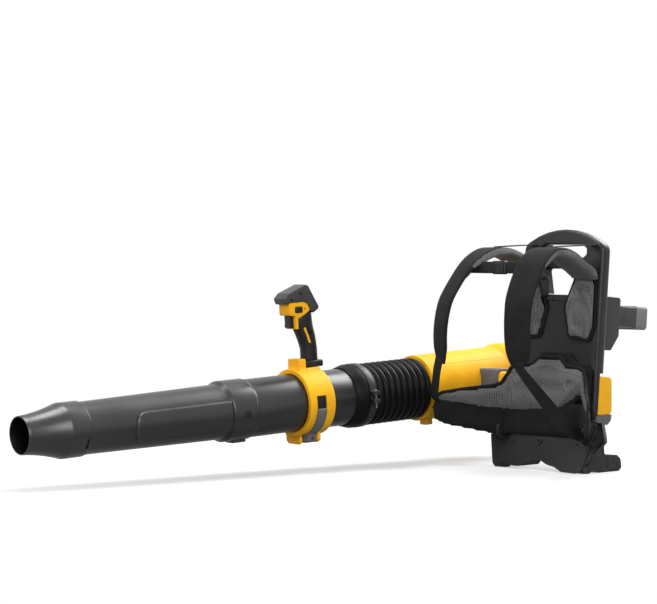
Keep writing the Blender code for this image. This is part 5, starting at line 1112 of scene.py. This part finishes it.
def make_tubes():
    wall, radius = 0.0025, 0.0567
    profile = rounded([(radius, 0.490), (radius, 0.158), (radius - wall, 0.158), (radius - wall, 0.490)],
                      0.0009, 3)
    shown("swivel_tube_body", carved(turned(profile, 128), button_hole()), TUBE_BLACK, "tube", "swivel_tube",
          TUBE, 30)

    rear_radius, front_radius, rear_end, front_end = 0.0532, 0.0494, 0.525, 0.818
    profile = rounded([(0.0492, 0.850), (front_radius, front_end), (rear_radius, rear_end),
                       (rear_radius, 0.505), (0.0592, 0.497), (0.0592, 0.4455), (0.0586, 0.4445),
                       (0.0592, 0.4435), (0.0582, 0.440), (0.0570, 0.440), (0.0570, 0.4903), (0.0507, 0.493),
                       (0.0507, 0.525), (0.0467, 0.850)], 0.0010, 3)
    rib = pillow(oblong(-0.012, 0.012, -0.0632, -0.0577, 0.0015, 3), 0.444, 0.475, 2, 0.0015, steps=2)
    front = carved(carved(turned(profile, 128), button_hole()), rib, "UNION")
    peg = moved(rod_across(0.0026, 0.0477, 0.0516, 20), spun(-15) @ Matrix.Translation((0, 0, 0.826)))
    shown("front_tube_body", merged([front, peg]), TUBE_BLACK, "tube", "front_tube", TUBE, 30)

    lower, upper, near, far, rise, tip_length = radians(-47), radians(28), 0.499, 0.722, 0.0048, 0.030
    middle = (lower + upper) / 2
    panel = bmesh.new()
    rows = []
    for i in range(41):
        station = near + (far - near) * i / 40
        skin = rear_radius + ((front_radius - rear_radius) * max(0.0, station - rear_end)
                              / (front_end - rear_end))
        tip = max(0.0, (station - (far - tip_length)) / tip_length)
        half = (upper - lower) / 2 * (1 - (1 - sqrt(max(0.0, 1 - tip ** 2))) * 0.85)
        rows.append([])
        for k in range(33):
            angle = middle + half * (k / 16 - 1)
            edge = min(1.0, (1 - abs(k / 16 - 1)) / 0.16, (far - station) / 0.005)
            reach = skin - 0.0008 + rise * sin(edge * pi / 2)
            rows[-1].append(panel.verts.new((reach * cos(angle), reach * sin(angle), station)))
    for a, b in zip(rows, rows[1:]):
        for k in range(32):
            panel.faces.new((a[k], a[k + 1], b[k + 1], b[k]))
    made = shown("front_tube_panel", panel, TUBE_BLACK, "tube", (), TUBE, 60)
    thick = made.modifiers.new("wall", "SOLIDIFY")
    thick.thickness, thick.offset = 0.0004, -1.0
    finished("lock_button", FRAME_BLACK, 0.0009, 3)


def make_nozzle():
    wall, mouth, throat, tip, root = 0.0022, 0.0360, 0.0498, 0.942, 0.866
    outside = [(mouth, tip)]
    for k in range(1, 9):
        share = k / 9
        flare = share ** 1.75 * 0.8 + share * 0.2
        outside.append((mouth + (throat - mouth) * flare, tip - (tip - root) * share))
    outside += [(0.0510, 0.8625), (0.0522, 0.8585), (0.0522, 0.819), (0.0512, 0.817), (throat, 0.817)]
    inside = [(throat, 0.8503), (0.0380, 0.905), (mouth - wall, tip)]
    body = turned(rounded(outside + inside, 0.0010, 2), 128)
    margin = (0.0026 + 0.0006) / 0.0492
    low, high = radians(-37) - margin, radians(-15) + margin
    slot = arc(0.0622, low, high, 12) + arc(0.0432, high, low, 12)
    shown("nozzle_body", carved(body, prism(slot, 0.8228, 0.8292, 2)), TUBE_BLACK, "outlet", "nozzle", TUBE,
          30)


# ------------------------------------------------------------ clamp ring and handle
def make_clamp():
    steps, saddle, block_half, pivot = 96, 0.0573, 0.018, (-0.0025, -0.0725)

    def pin_hole(low, high):
        return moved(rod(0.0033, low, high, 24), Matrix.Translation((*pivot, 0)))

    ring = turned(rounded([(0.066, 0.322), (0.067, 0.320), (0.067, 0.263), (0.066, 0.261), (saddle, 0.261),
                           (saddle, 0.322)], 0.0012, 3), steps)
    block = rounded([(-0.030, 0.052), (0.030, 0.052), (block_half, 0.0675), (block_half, 0.0855),
                     (-block_half, 0.0855), (-block_half, 0.0675)], 0.004, 4)
    shelf = rounded([(-0.028, 0.052), (0.028, 0.052), (block_half, 0.0674), (-block_half, 0.0674)], 0.002, 3)
    lug = rounded([(-0.034, -0.056), (-0.032, -0.074), (-0.014, -0.080), (-0.0135, -0.058)], 0.003, 4)
    ear = [(0.012, -0.060), (-0.012, -0.060)] + arc(0.0075, radians(190), radians(350), 14, pivot)
    ring = carved(ring, [prism(block, 0.294, 0.311, 2), prism(shelf, 0.261, 0.2955, 2),
                         prism(lug, 0.2835, 0.3095, 2), prism(ear, 0.265, 0.2825, 2)], "UNION")
    channel = arc(0.087, radians(-104), radians(13), 40) + arc(0.0623, radians(13), radians(-104), 40)
    slit = moved(box((0.0467, -0.0015, 0.211), (0.087, 0.0015, 0.372)), spun(-112))
    ring = carved(ring, [rod(saddle, 0.211, 0.361, steps), prism(channel, 0.2835, 0.3065, 2), slit,
                         pin_hole(0.269, 0.372)])
    soften(ring, 0.0008, 2, 30)
    shown("clamp_ring_body", ring, YELLOW, "handle", "clamp_ring", TUBE, 30)
    # painted shade: a deep black piece fills the ring's window slot and stands in for the shade inside it
    window_shade_fill = arc(0.0655, radians(-9), radians(12.4), 20) + arc(0.0600, radians(12.4), radians(-9), 20)
    shown("ring_window_shade_fill", prism(window_shade_fill, 0.2842, 0.3058, 2), DEEP_BLACK, "handle", (), TUBE, 40)
    cheek = rounded([(-0.034, -0.056), (-0.033, -0.077), (-0.027, -0.083), (0.007, -0.0835), (0.013, -0.078),
                     (0.013, -0.0565)], 0.004, 5)
    cheek = carved(pillow(cheek, 0.3068, 0.3125, 2, 0.0012, steps=3), [
        rod(saddle + 0.0002, 0.30, 0.32, steps), box((-0.0285, -0.09, 0.3100), (-0.0273, -0.06, 0.32))])
    shown("clamp_cheek", cheek, YELLOW, "handle", (), TUBE, 30)
    ledge = rounded([(-0.010, -0.057), (-0.009, -0.079), (0.023, -0.0805), (0.0315, -0.075),
                     (0.0315, -0.050)], 0.004, 5)
    ledge = carved(pillow(ledge, 0.2755, 0.2828, 2, 0.0010, steps=3), rod(saddle + 0.0002, 0.27, 0.29, steps))
    shown("clamp_ledge", ledge, YELLOW, "handle", (), TUBE, 30)
    half = 0.0115 - 0.0007
    heel = arc(0.0085, radians(115), radians(262), 16, pivot)
    outline = (heel + [(0.024, -0.0795), (0.0285, -0.0755), (0.0300, -0.0718), (0.0300, -0.0670)]
               + arc(0.0700, radians(-66) + 0.06, radians(-8) - 0.04, 20)
               + arc(0.0631, radians(-8), radians(-86), 24))
    lever = carved(prism(outline, 0.295 - half, 0.295 + half, 2), pin_hole(0.26, 0.34))
    soften(lever, 0.0010, 3, 30)
    shown("clamp_lever_body", lever, LEVER_GREY, "lever", "clamp_lever", TUBE, 30)
    finished("lever_pin", STEEL, 0.0004, 2)
    spot = TUBE @ Vector((0.0292, -0.0705, 0.2950))
    screws("lever_screw", [(spot, TUBE.to_3x3() @ Vector((1, -0.1, 0)))], "lever", 0.0032, 0.0016, DEEP_BLACK)


GRIP_SCREW = (0.1370, 0.2760)


def make_grip():
    sides, half = 48, 0.0165
    heights = [(0.0813, 0.2722, 0.0172, 0.92), (0.092, 0.2722, 0.0170, 0.91), (0.104, 0.2723, 0.0170, 0.91),
               (0.118, 0.2752, 0.0184, 0.93), (0.131, 0.2788, 0.0202, 0.95), (0.146, 0.2842, 0.0216, 0.97),
               (0.160, 0.2862, 0.0216, 0.99), (0.174, 0.2872, 0.0216, 1), (0.184, 0.2880, 0.0216, 1)]

    def power(value):
        return copysign(abs(value) ** 0.85, value)

    turns = [tau * (k + 0.5) / sides for k in range(sides)]
    grip = stacked([([(half * wide * power(cos(turn)), centre + deep * power(sin(turn))) for turn in turns],
                     height) for height, centre, deep, wide in heights], 1)
    split = [(0.1742, 0.24), (0.1742, 0.2688), (0.1800, 0.2764), (0.1712, 0.2905), (0.1650, 0.3062),
             (0.1442, 0.3062), (0.1442, 0.35), (0.30, 0.35), (0.30, 0.24)]
    trigger, line = 0.0088 + 0.0006, 0.00025
    grip = carved(grip, [
        prism(split, -0.05, 0.05, 0), box((-trigger, 0.1425, 0.2830), (trigger, 0.1690, 0.3400)),
        box((-0.006, 0.090, 0.266), (0.006, 0.130, 0.286)), box((-line, 0.05, 0.24), (line, 0.30, 0.2565)),
        box((-line, 0.05, 0.2865), (line, 0.1425, 0.33)), rod_across(0.0042, 0.0150, 0.03, 24, *GRIP_SCREW)])
    soften(grip, 0.0005, 2, 45)
    return grip


def make_handle():
    finished("handle_foot", FRAME_BLACK, 0.0010, 2)
    shown("grip_shells", make_grip(), FRAME_BLACK, "handle", ("handle_shell_left", "handle_shell_right"),
          TUBE, 32)
    inlay = [(0.1480, 0.2900), (0.1455, 0.2935), (0.1300, 0.2868), (0.1165, 0.2822), (0.1150, 0.2775),
             (0.1300, 0.2825), (0.1440, 0.2885)]
    shown("grip_inlay", pillow(rounded(inlay, 0.0008, 3), 0.0140, 0.0166, 0, 0.0005, steps=2), YELLOW,
          "handle", (), TUBE, 40)

    head = rounded([(0.1945, 0.3355), (0.2065, 0.3395), (0.2165, 0.3290), (0.2315, 0.2860), (0.2295, 0.2795),
                    (0.1872, 0.2553), (0.1822, 0.2563), (0.1745, 0.2690), (0.1806, 0.2770), (0.1873, 0.2785),
                    (0.1938, 0.2825), (0.1975, 0.2915), (0.1970, 0.3230)], 0.0030, 5)
    shown("handle_head_body", pillow(head, -0.0185, 0.0185, 0, 0.0020), HEAD_GREY, "handle", "handle_head",
          TUBE, 30)
    cover = [(0.1977, 0.3275), (0.1750, 0.3275), (0.1722, 0.3250), (0.1716, 0.3150), (0.1680, 0.3135),
             (0.1450, 0.3132), (0.1448, 0.3068), (0.1655, 0.3068), (0.1718, 0.2915), (0.1804, 0.2776),
             (0.1870, 0.2792), (0.1934, 0.2831), (0.1977, 0.2918), (0.1985, 0.3230)]
    pocket = oblong(0.1765, 0.1895, 0.2955, 0.3145, 0.004)
    cover = carved(pillow(rounded(cover, 0.0016), -0.0172, 0.0172, 0, 0.0011, steps=3), [
        prism(pocket, 0.0102, 0.03, 0), box((-0.0080, 0.1425, 0.3080), (0.0080, 0.1712, 0.34)),
        rod_across(0.0020, 0.0150, 0.03, 20, 0.1845, 0.2900)])
    shown("handle_cover_body", cover, YELLOW, "handle", "handle_cover", TUBE, 30)
    station, height, half_long, half_high = 0.305, 0.183, 0.009, 0.006
    button = oblong(height - half_high, height + half_high, station - half_long, station + half_long,
                    0.004, 6)
    shown("speed_button_cap", pillow(button, 0.0125, 0.0194, 0, 0.0004, 0.0014, 3), FRAME_BLACK, "speed_key",
          "speed_button", TUBE, 40)
    finished("trigger", FRAME_BLACK, 0.0010, 3)
    finished("indicator", LAMP_RED, 0.0003, 2)
    repaint(STEEL, "trigger_pin")
    way = TUBE.to_3x3() @ Vector((1, 0, 0))
    screws("grip_screw", [(TUBE @ Vector((0.0155, *GRIP_SCREW)), way)], "handle", 0.0032, 0.0014, DEEP_BLACK,
           "handle_screw")
    heads = [(TUBE @ Vector((0.0183, y, z)), way) for y, z in ((0.2150, 0.2995), (0.2030, 0.3220))]
    screws("head_screws", heads, "handle", 0.0030, 0.0012, DEEP_BLACK)


# ------------------------------------------------------------ the whole blower
for make in (set_stage, make_back_frame, make_base, make_upper_pads, make_hip_padding, make_shoulder_straps,
             make_webbing, make_chest_strap, make_load_lifters, make_power_pack, make_fan_housing, make_hose,
             make_cuff, make_tubes, make_nozzle, make_clamp, make_handle):
    make()
